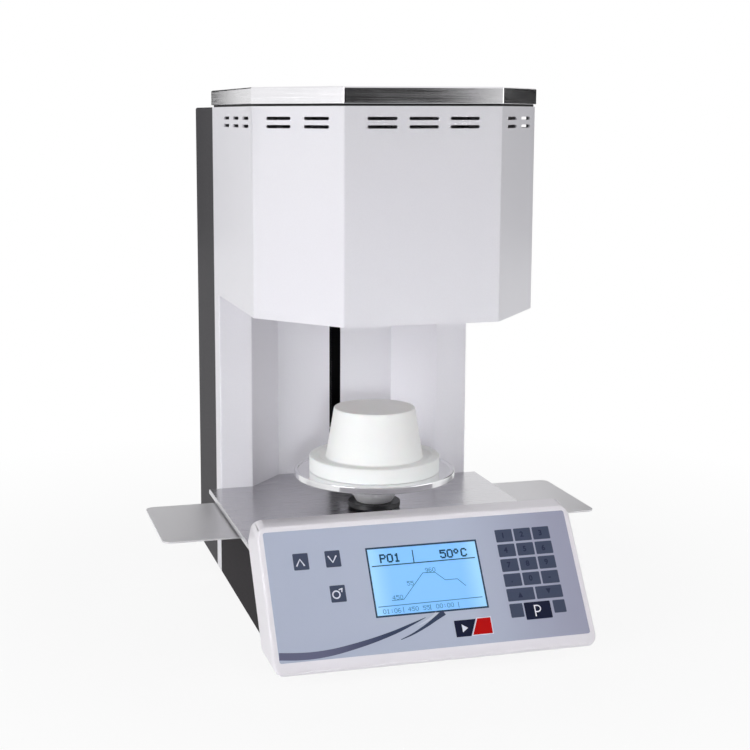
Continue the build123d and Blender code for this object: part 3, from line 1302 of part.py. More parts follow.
with BuildPart() as panel_overlay:
    with BuildSketch(face_plane(OVERLAY_SINK)):
        with Locations((0, overlay_middle)):
            RectangleRounded(OVERLAY_WIDTH, OVERLAY_HEIGHT, OVERLAY_CORNER)
        with Locations((0, screen_middle)):
            RectangleRounded(SCREEN_WIDTH, SCREEN_HEIGHT, SCREEN_CORNER, mode=Mode.SUBTRACT)
    extrude(amount=OVERLAY_SHEET)
panel_overlay.part.label = "panel_overlay"
export_step(panel_overlay.part, "parts/panel_overlay.step")

with BuildPart() as display_window:
    with BuildSketch(face_plane(OVERLAY_SINK)):
        with Locations((0, screen_middle)):
            RectangleRounded(SCREEN_WIDTH, SCREEN_HEIGHT, SCREEN_CORNER)
    extrude(amount=WINDOW_SHEET)
display_window.part.label = "display_window"
export_step(display_window.part, "parts/display_window.step")

with BuildPart() as display_module:
    with BuildSketch(face_plane(PANEL_WALL)):
        with Locations((0, screen_middle)):
            Rectangle(MODULE_SIZE[0], MODULE_SIZE[1])
    extrude(amount=-MODULE_SIZE[2])
display_module.part.label = "display_module"
export_step(display_module.part, "parts/display_module.step")

board_depth = PANEL_WALL + MODULE_SIZE[2]
with BuildPart() as control_board:
    with BuildSketch(face_plane(board_depth)):
        with Locations((0, overlay_middle)):
            Rectangle(BOARD_SIZE[0], BOARD_SIZE[1])
    extrude(amount=-BOARD_SIZE[2])
    with BuildSketch(face_plane(board_depth + BOARD_SIZE[2])):
        with Locations(*CHIP_SPOTS):
            Rectangle(CHIP_SIZE[0], CHIP_SIZE[1])
    extrude(amount=-CHIP_SIZE[2])
control_board.part.label = "control_board"
export_step(control_board.part, "parts/control_board.step")

# Flat sheet that closes the slab's rear, screwed to the sloped base wall.
back_low = PANEL_DEPTH * tan(radians(PANEL_LEAN)) + PANEL_WALL
back_high = REAR_RISE - PANEL_WALL
with BuildPart() as panel_back_sheet:
    with BuildSketch(face_plane(PANEL_DEPTH)):
        with Locations((0, (back_low + back_high) / 2)):
            Rectangle(
                2 * (PANEL_HALF_WIDTH - PANEL_WALL - SEAT_GAP),
                back_high - back_low - 2 * PANEL_SHEET_GAP,
            )
    extrude(amount=SHEET)
panel_back_sheet.part.label = "panel_back_sheet"
export_step(panel_back_sheet.part, "parts/panel_back_sheet.step")

# ---- electrics in the base ----

# Toroidal transformer, bolted flat to the bottom.
with BuildPart() as transformer:
    with BuildSketch(Plane.XY.offset(SHEET_FLOOR)):
        with Locations((TOROID_X, AXIS_Y + TOROID_Y)):
            Circle(TOROID_RADIUS)
            Circle(TOROID_HOLE, mode=Mode.SUBTRACT)
    extrude(amount=TOROID_HEIGHT)
    fillet(transformer.edges().filter_by(GeomType.CIRCLE), TOROID_EDGE)
transformer.part.label = "transformer"
export_step(transformer.part, "parts/transformer.step")

# Power board on four posts, with a finned heat sink, two capacitors and a relay.
power_y = AXIS_Y + TOROID_Y
board_foot = SHEET_FLOOR + STANDOFF
board_top = board_foot + POWER_BOARD[2]
power_plane = Plane(origin=(POWER_X, power_y, board_top))
with BuildPart() as power_board:
    with BuildSketch(Plane.XY.offset(board_foot)):
        with Locations((POWER_X, power_y)):
            Rectangle(POWER_BOARD[0], POWER_BOARD[1])
    extrude(amount=POWER_BOARD[2])
    with BuildSketch(Plane.XY.offset(SHEET_FLOOR)):
        with Locations((POWER_X, power_y)):
            with GridLocations(POWER_BOARD[0] - 2 * POST_INSET, POWER_BOARD[1] - 2 * POST_INSET, 2, 2):
                Circle(STANDOFF_RADIUS)
    extrude(amount=STANDOFF)
    with BuildSketch(power_plane):
        with Locations(SINK_SPOT):
            Rectangle(FIN_PITCH * FIN_COUNT, FIN_LENGTH)
    extrude(amount=SINK_BASE)
    with BuildSketch(power_plane.offset(SINK_BASE)):
        with Locations(SINK_SPOT):
            with GridLocations(FIN_PITCH, 0, FIN_COUNT, 1):
                Rectangle(FIN_SHEET, FIN_LENGTH)
    extrude(amount=FIN_HEIGHT)
    with BuildSketch(power_plane):
        with Locations(*CAPACITOR_SPOTS):
            Circle(CAPACITOR_RADIUS)
    extrude(amount=CAPACITOR_HEIGHT)
    with BuildSketch(power_plane):
        with Locations(RELAY_SPOT):
            Rectangle(RELAY_SIZE[0], RELAY_SIZE[1])
    extrude(amount=RELAY_SIZE[2])
power_board.part.label = "power_board"
export_step(power_board.part, "parts/power_board.step")

# ---- rear fittings ----

# Mains inlet: a moulded body with a flange outside, and three flat pins in its recess.
socket_back = REAR_FACE + SOCKET_FLANGE_SHEET
with BuildPart() as mains_inlet:
    with BuildSketch(back_plane(REAR_FACE)):
        with Locations((-INLET_X, SOCKET_Z)):
            RectangleRounded(*SOCKET_FLANGE, SOCKET_CORNER)
    extrude(amount=SOCKET_FLANGE_SHEET)
    with BuildSketch(back_plane(REAR_FACE)):
        with Locations((-INLET_X, SOCKET_Z)):
            Rectangle(*SOCKET_BODY)
    extrude(amount=-SOCKET_DEPTH)
    with BuildSketch(back_plane(socket_back)):
        with Locations((-INLET_X, SOCKET_Z)):
            RectangleRounded(SOCKET_CAVITY[0], SOCKET_CAVITY[1], SOCKET_CORNER)
    extrude(amount=-SOCKET_CAVITY[2], mode=Mode.SUBTRACT)
    with BuildSketch(back_plane(socket_back - SOCKET_CAVITY[2])):
        with Locations(
            (-INLET_X - PIN_PITCH, SOCKET_Z - PIN_RISE),
            (-INLET_X + PIN_PITCH, SOCKET_Z - PIN_RISE),
            (-INLET_X, SOCKET_Z + PIN_RISE),
        ):
            Rectangle(PIN_SIZE[0], PIN_SIZE[1])
    extrude(amount=PIN_LENGTH)
mains_inlet.part.label = "mains_inlet"
export_step(mains_inlet.part, "parts/mains_inlet.step")

# Outlet for the vacuum pump: flange, raised core in a moat, three slots.
with BuildPart() as pump_outlet:
    with BuildSketch(back_plane(REAR_FACE)):
        with Locations((-OUTLET_X, SOCKET_Z)):
            RectangleRounded(*SOCKET_FLANGE, SOCKET_CORNER)
    extrude(amount=SOCKET_FLANGE_SHEET)
    with BuildSketch(back_plane(REAR_FACE)):
        with Locations((-OUTLET_X, SOCKET_Z)):
            Rectangle(*SOCKET_BODY)
    extrude(amount=-SOCKET_DEPTH)
    with BuildSketch(back_plane(socket_back)):
        with Locations((-OUTLET_X, SOCKET_Z)):
            RectangleRounded(SOCKET_CAVITY[0], SOCKET_CAVITY[1], SOCKET_CORNER)
            RectangleRounded(*OUTLET_CORE, OUTLET_CORE_CORNER, mode=Mode.SUBTRACT)
    extrude(amount=-SOCKET_CAVITY[2], mode=Mode.SUBTRACT)
    with BuildSketch(back_plane(socket_back)):
        with Locations(
            (-OUTLET_X - OUTLET_PITCH, SOCKET_Z - PIN_RISE),
            (-OUTLET_X + OUTLET_PITCH, SOCKET_Z - PIN_RISE),
            (-OUTLET_X, SOCKET_Z + PIN_RISE),
        ):
            Rectangle(OUTLET_SLOT[0], OUTLET_SLOT[1])
    extrude(amount=-SOCKET_CAVITY[2], mode=Mode.SUBTRACT)
pump_outlet.part.label = "pump_outlet"
export_step(pump_outlet.part, "parts/pump_outlet.step")

# Fuse holder: a round body with a slotted cap outside.
with BuildPart() as fuse_holder:
    with BuildSketch(back_plane(REAR_FACE)):
        with Locations((-OUTLET_X, MAINS_SWITCH_Z)):
            Circle(CAP_RADIUS)
    extrude(amount=CAP_LENGTH)
    fillet(fuse_holder.faces().sort_by(Axis.Y)[-1].edges(), CAP_EDGE)
    with BuildSketch(back_plane(REAR_FACE)):
        with Locations((-OUTLET_X, MAINS_SWITCH_Z)):
            Circle(FUSE_RADIUS)
    extrude(amount=-SOCKET_DEPTH)
    with BuildSketch(back_plane(REAR_FACE + CAP_LENGTH)):
        with Locations((-OUTLET_X, MAINS_SWITCH_Z)):
            Rectangle(CAP_SLOT[0], CAP_SLOT[1])
    extrude(amount=-CAP_SLOT[2], mode=Mode.SUBTRACT)
fuse_holder.part.label = "fuse_holder"
export_step(fuse_holder.part, "parts/fuse_holder.step")

# Mains switch: a frame with a well, and a rocker that tips on a pin through the well's sides.
rocker_y = REAR_FACE - ROCKER_DEPTH
frame_face = REAR_FACE + SWITCH_FLANGE_SHEET
with BuildPart() as mains_switch:
    with BuildSketch(back_plane(REAR_FACE)):
        with Locations((-INLET_X, MAINS_SWITCH_Z)):
            RectangleRounded(*MAINS_SWITCH_FLANGE, SWITCH_CORNER)
    extrude(amount=SWITCH_FLANGE_SHEET)
    with BuildSketch(back_plane(REAR_FACE)):
        with Locations((-INLET_X, MAINS_SWITCH_Z)):
            Rectangle(*MAINS_SWITCH_BODY)
    extrude(amount=-WELL_DEPTH - SWITCH_FLANGE_SHEET)
    with BuildSketch(back_plane(frame_face)):
        with Locations((-INLET_X, MAINS_SWITCH_Z)):
            Rectangle(*WELL)
    extrude(amount=-WELL_DEPTH, mode=Mode.SUBTRACT)
    with BuildSketch(Plane.XY.offset(MAINS_SWITCH_Z - MAINS_SWITCH_BODY[1] / 2 + SWITCH_SKIN)):
        with Locations((INLET_X, rocker_y)):
            Circle(ROCKER_PIN_RADIUS + SHAFT_GAP)
    extrude(amount=MAINS_SWITCH_BODY[1] - 2 * SWITCH_SKIN, mode=Mode.SUBTRACT)
mains_switch.part.label = "mains_switch"
export_step(mains_switch.part, "parts/mains_switch.step")

rocker_half = WELL[1] / 2 - RUN_GAP
with BuildPart() as switch_rocker:
    with BuildSketch(Plane.XY.offset(MAINS_SWITCH_Z - rocker_half)):
        with Locations(Location((INLET_X, rocker_y), -ROCKER_TILT)):
            Polygon(
                (-ROCKER_HALF, ROCKER_CROWN),
                (-ROCKER_WAIST, 0),
                (0, -ROCKER_ROOT),
                (ROCKER_WAIST, 0),
                (ROCKER_HALF, ROCKER_CROWN),
                (0, ROCKER_CROWN - ROCKER_HOLLOW),
                align=None,
            )
    extrude(amount=2 * rocker_half)
    with BuildSketch(Plane.XY.offset(MAINS_SWITCH_Z - MAINS_SWITCH_BODY[1] / 2 + 2 * RUN_GAP)):
        with Locations((INLET_X, rocker_y)):
            Circle(ROCKER_PIN_RADIUS)
    extrude(amount=MAINS_SWITCH_BODY[1] - 4 * RUN_GAP)
switch_rocker.part.label = "switch_rocker"
export_step(switch_rocker.part, "parts/switch_rocker.step")

# Cooling fan: frame with spokes and a fixed core, rotor on a thin shaft, wire guard outside.
fan_front = REAR_INNER - FAN_DEPTH
with BuildPart() as fan_frame:
    with BuildSketch(back_plane(fan_front)):
        with Locations((-FAN_X, FAN_Z)):
            RectangleRounded(FAN_SIZE, FAN_SIZE, FAN_CORNER)
            Circle(FAN_BORE, mode=Mode.SUBTRACT)
    extrude(amount=FAN_DEPTH)
    with BuildSketch(back_plane(fan_front)):
        with Locations((-FAN_X, FAN_Z)):
            Rectangle(2 * (FAN_BORE + SPOKE_ROOT), SPOKE_WIDTH)
            Rectangle(SPOKE_WIDTH, 2 * (FAN_BORE + SPOKE_ROOT))
            Circle(FAN_HUB)
    extrude(amount=CORE_HEIGHT)
    with BuildSketch(back_plane(fan_front)):
        with Locations((-FAN_X, FAN_Z)):
            Circle(FAN_SHAFT + SHAFT_GAP)
    extrude(amount=CORE_HEIGHT, mode=Mode.SUBTRACT)
fan_frame.part.label = "fan_frame"
export_step(fan_frame.part, "parts/fan_frame.step")

rotor_front = fan_front + CORE_HEIGHT + ROTOR_GAP
rotor_height = FAN_DEPTH - CORE_HEIGHT - 3 * ROTOR_GAP
blade_length = FAN_BORE - FAN_TIP_GAP - FAN_HUB + BLADE_ROOT
blade_middle = FAN_HUB - BLADE_ROOT + blade_length / 2
with BuildPart() as fan_rotor:
    with BuildSketch(back_plane(rotor_front)):
        with Locations((-FAN_X, FAN_Z)):
            Circle(FAN_HUB)
    extrude(amount=rotor_height)
    fillet(fan_rotor.faces().sort_by(Axis.Y)[-1].edges(), ROTOR_EDGE)
    with BuildSketch(back_plane(fan_front + ROTOR_GAP / 2)):
        with Locations((-FAN_X, FAN_Z)):
            Circle(FAN_SHAFT)
    extrude(amount=CORE_HEIGHT + ROTOR_GAP)
    for k in range(FAN_BLADES):
        spin = 2 * pi * k / FAN_BLADES
        along = (cos(spin), 0, sin(spin))
        root = (
            FAN_X + blade_middle * along[0],
            rotor_front + rotor_height / 2,
            FAN_Z + blade_middle * along[2],
        )
        tilt = radians(BLADE_TWIST)
        across = (-sin(spin) * cos(tilt), sin(tilt), cos(spin) * cos(tilt))
        blade_plane = Plane(origin=root, x_dir=along, z_dir=Vector(*along).cross(Vector(*across)))
        with BuildSketch(blade_plane):
            Rectangle(blade_length, rotor_height * BLADE_SHARE)
        extrude(amount=BLADE_SHEET / 2, both=True)
fan_rotor.part.label = "fan_rotor"
export_step(fan_rotor.part, "parts/fan_rotor.step")

guard_pitch = (FAN_HOLE + GUARD_LAP - FAN_HUB / 2) / (GUARD_RINGS - 1)
with BuildPart() as fan_guard:
    with BuildSketch(back_plane(REAR_FACE)):
        with Locations((-FAN_X, FAN_Z)):
            for ring in range(GUARD_RINGS):
                radius = FAN_HUB / 2 + ring * guard_pitch
                Circle(radius + GUARD_WIRE / 2)
                Circle(radius - GUARD_WIRE / 2, mode=Mode.SUBTRACT)
            for turn in GUARD_TURNS:
                Rectangle(GUARD_SPAN, GUARD_BAR, rotation=turn)
            Circle(FAN_HUB / 2)
    extrude(amount=GUARD_WIRE)
fan_guard.part.label = "fan_guard"
export_step(fan_guard.part, "parts/fan_guard.step")
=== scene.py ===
from math import cos, hypot, pi, radians, sin

import bmesh
import bpy
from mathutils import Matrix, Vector


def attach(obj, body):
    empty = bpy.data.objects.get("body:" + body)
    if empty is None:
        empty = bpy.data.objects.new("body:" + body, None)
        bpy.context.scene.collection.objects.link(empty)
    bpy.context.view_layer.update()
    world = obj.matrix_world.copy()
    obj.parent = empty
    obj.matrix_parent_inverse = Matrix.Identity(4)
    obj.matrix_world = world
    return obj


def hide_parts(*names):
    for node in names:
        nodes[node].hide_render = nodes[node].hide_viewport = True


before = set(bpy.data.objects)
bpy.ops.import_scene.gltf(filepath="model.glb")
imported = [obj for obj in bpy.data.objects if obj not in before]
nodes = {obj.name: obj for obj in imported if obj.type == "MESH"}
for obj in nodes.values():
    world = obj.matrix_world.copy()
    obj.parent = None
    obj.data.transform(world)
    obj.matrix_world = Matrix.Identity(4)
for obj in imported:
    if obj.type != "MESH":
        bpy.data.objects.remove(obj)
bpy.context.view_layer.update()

# ---- studio: camera, sweep and lamps ----
# A sweep of white paper that fades to white and keeps a faint shadow, under soft lamps. The
# camera stands to the left, level with the head, and looks a little down.
scene = bpy.context.scene
scene.view_settings.view_transform = "Standard"


def hue(code):
    """An sRGB hex colour as linear values."""
    parts = [int(code[i:i + 2], 16) / 255 for i in (1, 3, 5)]
    lit = [c / 12.92 if c <= 0.04045 else ((c + 0.055) / 1.055) ** 2.4 for c in parts]
    return (*lit, 1.0)


def put(tree, kind, links=None, **settings):
    """Adds a node; links gives an input a value, a socket or another node's first output."""
    node = tree.nodes.new(kind)
    for name, value in settings.items():
        setattr(node, name, value)
    for name, value in (links or {}).items():
        if isinstance(value, bpy.types.Node):
            value = value.outputs[0]
        if isinstance(value, bpy.types.NodeSocket):
            tree.links.new(value, node.inputs[name])
        else:
            node.inputs[name].default_value = value
    return node


def place(name, data):
    """A new object for some data, linked to the scene at the origin."""
    thing = bpy.data.objects.new(name, data)
    scene.collection.objects.link(thing)
    return thing


def finish(name, colour, roughness, **sockets):
    """A new material with its tree and shader, in one colour to start from."""
    material = bpy.data.materials.new(name)
    material.use_nodes = True
    shader = material.node_tree.nodes["Principled BSDF"]
    shader.inputs["Base Color"].default_value = hue(colour)
    shader.inputs["Roughness"].default_value = roughness
    for socket, value in sockets.items():
        shader.inputs[socket.replace("_", " ")].default_value = value
    return material, material.node_tree, shader


def seen_by(tree, *kinds):
    """One for rays of these kinds, and nought for all others."""
    rays = put(tree, "ShaderNodeLightPath")
    seen = rays.outputs[kinds[0]]
    for kind in kinds[1:]:
        seen = put(tree, "ShaderNodeMath", {0: seen, 1: rays.outputs[kind]}, operation="MAXIMUM")
    return seen


# The camera's place, dip and turn come from a fit to the corners that the photograph shows.
EYE, EYE_DIP, EYE_TURN = (-0.3846, -1.3029, 0.4664), 8.569, 14.913
lens = bpy.data.cameras.new("camera")
lens.lens = 68.79
lens.sensor_width = 36
lens.shift_x, lens.shift_y = 0.06, -0.06
lens.clip_start, lens.clip_end = 0.05, 50
camera = place("camera", lens)
camera.location = EYE
camera.rotation_euler = (radians(90 - EYE_DIP), 0, radians(-EYE_TURN))
scene.camera = camera

# The air lights the furnace weakly, and looks white itself, in metal and glass too.
AIR_LIGHT = 0.3
world = bpy.data.worlds.new("studio")
world.use_nodes = True
scene.world = world
air = world.node_tree
air.nodes.clear()
seen = seen_by(air, "Is Camera Ray", "Is Glossy Ray", "Is Transmission Ray")
level = put(air, "ShaderNodeMapRange", {"Value": seen, "To Min": AIR_LIGHT, "To Max": 1.0})
sky = put(air, "ShaderNodeBackground", {"Color": hue("#FFFFFF"), "Strength": level})
put(air, "ShaderNodeOutputWorld", {"Surface": sky})

# The paper looks white, but keeps a tenth of its own shading near the furnace, for the shadow.
FADE_FROM, FADE_TO = 0.3, 0.75
sweep = bmesh.new()
bmesh.ops.create_circle(sweep, cap_ends=True, segments=96, radius=6.0)
sweep_mesh = bpy.data.meshes.new("floor")
sweep.to_mesh(sweep_mesh)
sweep.free()
floor = place("floor", sweep_mesh)
paper = bpy.data.materials.new("white_paper")
paper.use_nodes = True
tree = paper.node_tree
tree.nodes.clear()
seen = seen_by(tree, "Is Camera Ray", "Is Glossy Ray")
spot = put(tree, "ShaderNodeTexCoord")
reach = put(tree, "ShaderNodeVectorMath", {0: spot.outputs["Object"]}, operation="LENGTH")
fade = put(tree, "ShaderNodeMapRange", {
    "Value": reach.outputs["Value"], "From Min": FADE_FROM, "From Max": FADE_TO,
    "To Min": 0.9, "To Max": 1.0,
})
white = put(tree, "ShaderNodeMath", {0: seen, 1: fade}, operation="MULTIPLY")
matt = put(tree, "ShaderNodeBsdfDiffuse", {"Color": hue("#F4F4F4")})
glow = put(tree, "ShaderNodeEmission", {"Color": hue("#FFFFFF"), "Strength": 1.0})
blend = put(tree, "ShaderNodeMixShader", {0: white, 1: matt, 2: glow})
put(tree, "ShaderNodeOutputMaterial", {"Surface": blend})
floor.data.materials.append(paper)

# Lamps, in metres, watts and degrees: broad soft ones at both sides, one behind that leaves no
# highlight, and a weak narrow one low in front.
for name, spot, aim, size, power, spread in (
    ("key", (-2.7, -1.5, 0.9), (0, 0, 0.3), 1.8, 48, 180),
    ("front", (-0.5, -2.8, 0.45), (0, 0, 0.12), 0.5, 0.18, 12),
    ("fill", (2.5, -1.6, 1.2), (0, 0, 0.25), 1.8, 18, 180),
    ("back", (0.6, 2.4, 2.2), (0, 0, 0.3), 1.8, 12, 180),
):
    bulb = bpy.data.lights.new(name, "AREA")
    bulb.shape = "SQUARE"
    bulb.size = size
    bulb.energy = power
    bulb.spread = radians(spread)
    lamp = place(name, bulb)
    lamp.location = spot
    lamp.rotation_euler = (Vector(aim) - Vector(spot)).to_track_quat("-Z", "Y").to_euler()
    lamp.visible_camera = False
    lamp.visible_glossy = name != "back"

# Black cards on edge, each from one foot to the other, between two heights, in metres. They show
# in reflections only, and give bare metal its dark bands.
card_black = finish("black_card", "#101010", 1.0)[0]
for name, left, right, low, high in (
    ("front_card", (-0.95, -1.9), (0.6, -1.6), 0.15, 1.0),
    ("right_card", (1.0, 0.3), (0.62, 0.9), 0.25, 0.75),
    ("rear_card", (-0.222, 0.5), (0.1, 0.5), 0.3, 0.7),
):
    sheet = bpy.data.meshes.new(name)
    corners = [(*left, low), (*right, low), (*right, high), (*left, high)]
    sheet.from_pydata(corners, [], [(0, 1, 2, 3)])
    sheet.materials.append(card_black)
    card = place(name, sheet)
    card.visible_camera = card.visible_diffuse = False
    card.visible_shadow = card.visible_transmission = False

# ---- rubber feet ----
# Four moulded black rubber buttons, screwed under the bottom sheet, that keep the furnace from
# sliding.
CREASE = radians(30)    # a fold sharper than this is an edge


def grain(tree, shader, size, depth, stretch=(1, 1, 1), spread=0.0, shade=0.0):
    """Noise relief of a surface: grain size and depth in mm, stretched along X, Y and Z; spread
    varies the roughness by that much, and shade darkens the colour by that share. Sizes under a
    millimetre are coarser than the real grain, which is too fine to show."""
    spot = put(tree, "ShaderNodeTexCoord")
    run = put(tree, "ShaderNodeMapping",
              {"Vector": spot.outputs["Object"], "Scale": [1 / s for s in stretch]})
    noise = put(tree, "ShaderNodeTexNoise", {"Vector": run, "Scale": 1000 / size, "Detail": 2.0})
    if depth:
        relief = put(tree, "ShaderNodeBump", {"Height": noise, "Distance": depth / 1000})
        tree.links.new(relief.outputs[0], shader.inputs["Normal"])
    if spread:
        rough = shader.inputs["Roughness"].default_value
        vary = put(tree, "ShaderNodeMapRange", {
            "Value": noise, "From Min": 0.3, "From Max": 0.7,
            "To Min": rough - spread, "To Max": rough + spread,
        })
        tree.links.new(vary.outputs[0], shader.inputs["Roughness"])
    if shade:
        full = tuple(shader.inputs["Base Color"].default_value)
        dim = tuple(c * (1 - shade) for c in full[:3]) + (1.0,)
        fade = put(tree, "ShaderNodeMapRange", {"Value": noise, "From Min": 0.3, "From Max": 0.7})
        mix = put(tree, "ShaderNodeMix", {0: fade, 6: dim, 7: full}, data_type="RGBA")
        tree.links.new(mix.outputs[2], shader.inputs["Base Color"])


def round_edges(piece, edge, segments):
    """Gives folds sharper than the crease a round of edge mm, if any, and evens the shading."""
    if edge:
        rounds = piece.modifiers.new("rounds", "BEVEL")
        rounds.width = edge / 1000
        rounds.segments = segments
        rounds.limit_method = "ANGLE"
        rounds.angle_limit = CREASE
    weight = piece.modifiers.new("normals", "WEIGHTED_NORMAL")
    weight.keep_sharp = True


def stand_for(piece, node, body="furnace"):
    """The piece takes a CAD node's place on a body."""
    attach(piece, body)
    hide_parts(node)


def skin(node, name, material, body="furnace", edge=0.0):
    """A CAD node's own shape as one shell that shades smoothly: its loose triangles are merged,
    and its folds stay sharp or get a round of edge mm."""
    mesh = nodes[node].data.copy()
    shell = bmesh.new()
    shell.from_mesh(mesh)
    bmesh.ops.remove_doubles(shell, verts=shell.verts, dist=2e-6)
    if edge:
        bmesh.ops.dissolve_limit(shell, angle_limit=radians(0.5), verts=shell.verts,
                                 edges=shell.edges)
    shell.to_mesh(mesh)
    shell.free()
    mesh.materials.clear()
    mesh.materials.append(material)
    mesh.shade_smooth()
    mesh.set_sharp_from_angle(angle=CREASE)
    piece = place(name, mesh)
    round_edges(piece, edge, 2)
    stand_for(piece, node, body)
    return piece


# Moulded rubber: matt, with no clear highlight, and the mould's grain on it.
rubber, tree, shader = finish("moulded_rubber", "#1B1B1C", 0.8)
grain(tree, shader, 0.8, 0.03, spread=0.08)
skin("rubber_feet", "feet", rubber, edge=0.5)

# ---- base chassis ----
# A tray folded from steel sheet and powder coated dark grey, with cooling slots cut in its
# sides. All other parts stand on it.

# Powder coat: dull, with orange peel of about a millimetre; it stays dark where light grazes it.
base_coat, tree, shader = finish("charcoal_powder_coat", "#272427", 0.7, Specular_IOR_Level=0.08)
grain(tree, shader, 1.1, 0.02, spread=0.06, shade=0.06)
skin("base_chassis", "chassis", base_coat)

# ---- deck, rails and side shelves ----
# The base's top and two pull-out shelves, folded from ground stainless sheet. The rails that
# carry the shelves under the deck are zinc-plated channels.

# Ground stainless: long scratches across the width draw a lamp out into a streak. Real ones
# are under 0.1 mm wide and are drawn 0.5 mm wide.
ground_steel, tree, shader = finish("ground_stainless", "#CAC9CD", 0.26, Metallic=1.0)
grain(tree, shader, 0.5, 0.006, stretch=(120, 1, 1), spread=0.07, shade=0.05)
skin("deck", "deck_sheet", ground_steel)

# Zinc plate: dull pale metal with a faint spangle of 6 mm.
zinc, tree, shader = finish("zinc_plate", "#B5B8BB", 0.45, Metallic=1.0)
grain(tree, shader, 6, 0.004, spread=0.1, shade=0.12)


def coat(material, *names):
    """Gives CAD nodes that show as they are their finish."""
    for name in names:
        for slot in nodes[name].material_slots:
            slot.material = material


coat(zinc, "shelf_rails")

# The shelves are ground from front to back, and shine more softly.
shelf_steel, tree, shader = finish("ground_shelf_sheet", "#DEDDE0", 0.4, Metallic=0.6)
grain(tree, shader, 0.5, 0.006, stretch=(1, 120, 1), spread=0.07, shade=0.05)
skin("shelf_left", "left_shelf_sheet", shelf_steel, body="left_shelf", edge=0.25)
skin("shelf_right", "right_shelf_sheet", shelf_steel, body="right_shelf", edge=0.25)

# ---- column and rear housing ----
# The column's front is white powder-coated sheet with a folded recess; zinc-plated posts stand
# behind its flanges. The rear housing and panel are dark grey sheet, screwed to the posts.

# White powder coat: satin, with orange peel of about a millimetre.
white_coat, tree, shader = finish("white_powder_coat", "#ECEBF1", 0.38)
grain(tree, shader, 1.1, 0.012, spread=0.05, shade=0.02)
skin("column_front", "column_sheet", white_coat)
coat(zinc, "column_posts")
# The housing's dark coat shines a little more than the base's.
dark_coat, tree, shader = finish("dark_powder_coat", "#2D2B2F", 0.6, Specular_IOR_Level=0.2)
grain(tree, shader, 1.1, 0.02, spread=0.06, shade=0.06)
skin("rear_housing", "housing_sheet", dark_coat)
skin("rear_panel", "rear_sheet", dark_coat)

# ---- rear panel's screws ----
# Nickel-plated button-head screws with a socket, four down each edge of the rear panel; they
# hold it to the posts. Places and profile are in mm.
REAR_FACE, SCREW_SIDE, SCREW_ROWS = 199.0, 118.0, (24.5, 169.0, 313.5, 458.0)
REAR_SCREWS = [(side * SCREW_SIDE, REAR_FACE, z) for side in (-1, 1) for z in SCREW_ROWS]
BUTTON = [(0, 1.0), (1.45, 1.0), (1.5, 1.9), (2.2, 2.0), (2.9, 1.5), (3.2, 0.7), (3.2, 0), (0, 0)]
# Nickel plate: a warm even shine.
nickel, tree, shader = finish("nickel_plate", "#C4C3BF", 0.25, Metallic=1.0)
grain(tree, shader, 0.6, 0.004, spread=0.08)


def turned(profile, steps):
    """A mesh of a profile of (radius, height) in mm, turned about Z; its ends lie on the axis, or
    meet where the piece is a ring."""
    shape = bmesh.new()
    rings = []
    for radius, height in profile:
        turns = [2 * pi * k / steps for k in range(steps if radius > 0 else 1)]
        rings.append([
            shape.verts.new((radius * cos(turn) / 1000, radius * sin(turn) / 1000, height / 1000))
            for turn in turns
        ])
    for low, high in zip(rings, rings[1:]):
        for k in range(steps):
            n = k + 1
            corners = [
                low[k % len(low)], low[n % len(low)], high[n % len(high)], high[k % len(high)],
            ]
            shape.faces.new(list(dict.fromkeys(corners)))
    bmesh.ops.remove_doubles(shape, verts=shape.verts, dist=1e-7)
    bmesh.ops.recalc_face_normals(shape, faces=shape.faces)
    mesh = bpy.data.meshes.new("turned")
    shape.to_mesh(mesh)
    shape.free()
    mesh.shade_smooth()
    mesh.set_sharp_from_angle(angle=radians(35))
    return mesh


def repeat(name, unit, spots, material):
    """One piece of many equal units: Geometry Nodes set the unit at each spot, in mm."""
    rows = bpy.data.meshes.new(name)
    rows.from_pydata([Vector(s) / 1000 for s in spots], [], [])
    holder = place(name + "_spots", rows)
    sample = place(name + "_unit", unit)
    tree = bpy.data.node_groups.new(name, "GeometryNodeTree")
    tree.interface.new_socket("Spots", in_out="INPUT", socket_type="NodeSocketGeometry")
    unit_socket = tree.interface.new_socket("Unit", in_out="INPUT", socket_type="NodeSocketObject")
    look_socket = tree.interface.new_socket("Material", in_out="INPUT",
                                            socket_type="NodeSocketMaterial")
    tree.interface.new_socket("Pieces", in_out="OUTPUT", socket_type="NodeSocketGeometry")
    given = put(tree, "NodeGroupInput")
    shape = put(tree, "GeometryNodeObjectInfo", {"Object": given.outputs["Unit"]})
    set_out = put(tree, "GeometryNodeInstanceOnPoints",
                  {"Points": given.outputs["Spots"], "Instance": shape.outputs["Geometry"]})
    solid = put(tree, "GeometryNodeRealizeInstances", {"Geometry": set_out})
    painted = put(tree, "GeometryNodeSetMaterial",
                  {"Geometry": solid, "Material": given.outputs["Material"]})
    put(tree, "NodeGroupOutput", {"Pieces": painted})
    maker = holder.modifiers.new("set_out", "NODES")
    maker.node_group = tree
    maker[unit_socket.identifier] = sample
    maker[look_socket.identifier] = material
    ready = holder.evaluated_get(bpy.context.evaluated_depsgraph_get())
    piece = place(name, bpy.data.meshes.new_from_object(ready))
    bpy.data.objects.remove(holder)
    bpy.data.objects.remove(sample)
    return piece


def turn_to_back(mesh):
    """Turns a mesh made about Z so that its Z runs to the back, along +Y."""
    for v in mesh.vertices:
        x, y, z = v.co
        v.co = (-x, z, y)
    return mesh


screws = repeat("rear_screws", turn_to_back(turned(BUTTON, 24)), REAR_SCREWS, nickel)
stand_for(screws, "rear_panel_screws")

# ---- rear fittings ----
# Moulded black inlet, outlet, fuse cap and mains switch, snapped into the rear panel, and the
# cooling fan behind its wire guard. The port for the pump's hose is turned brass.

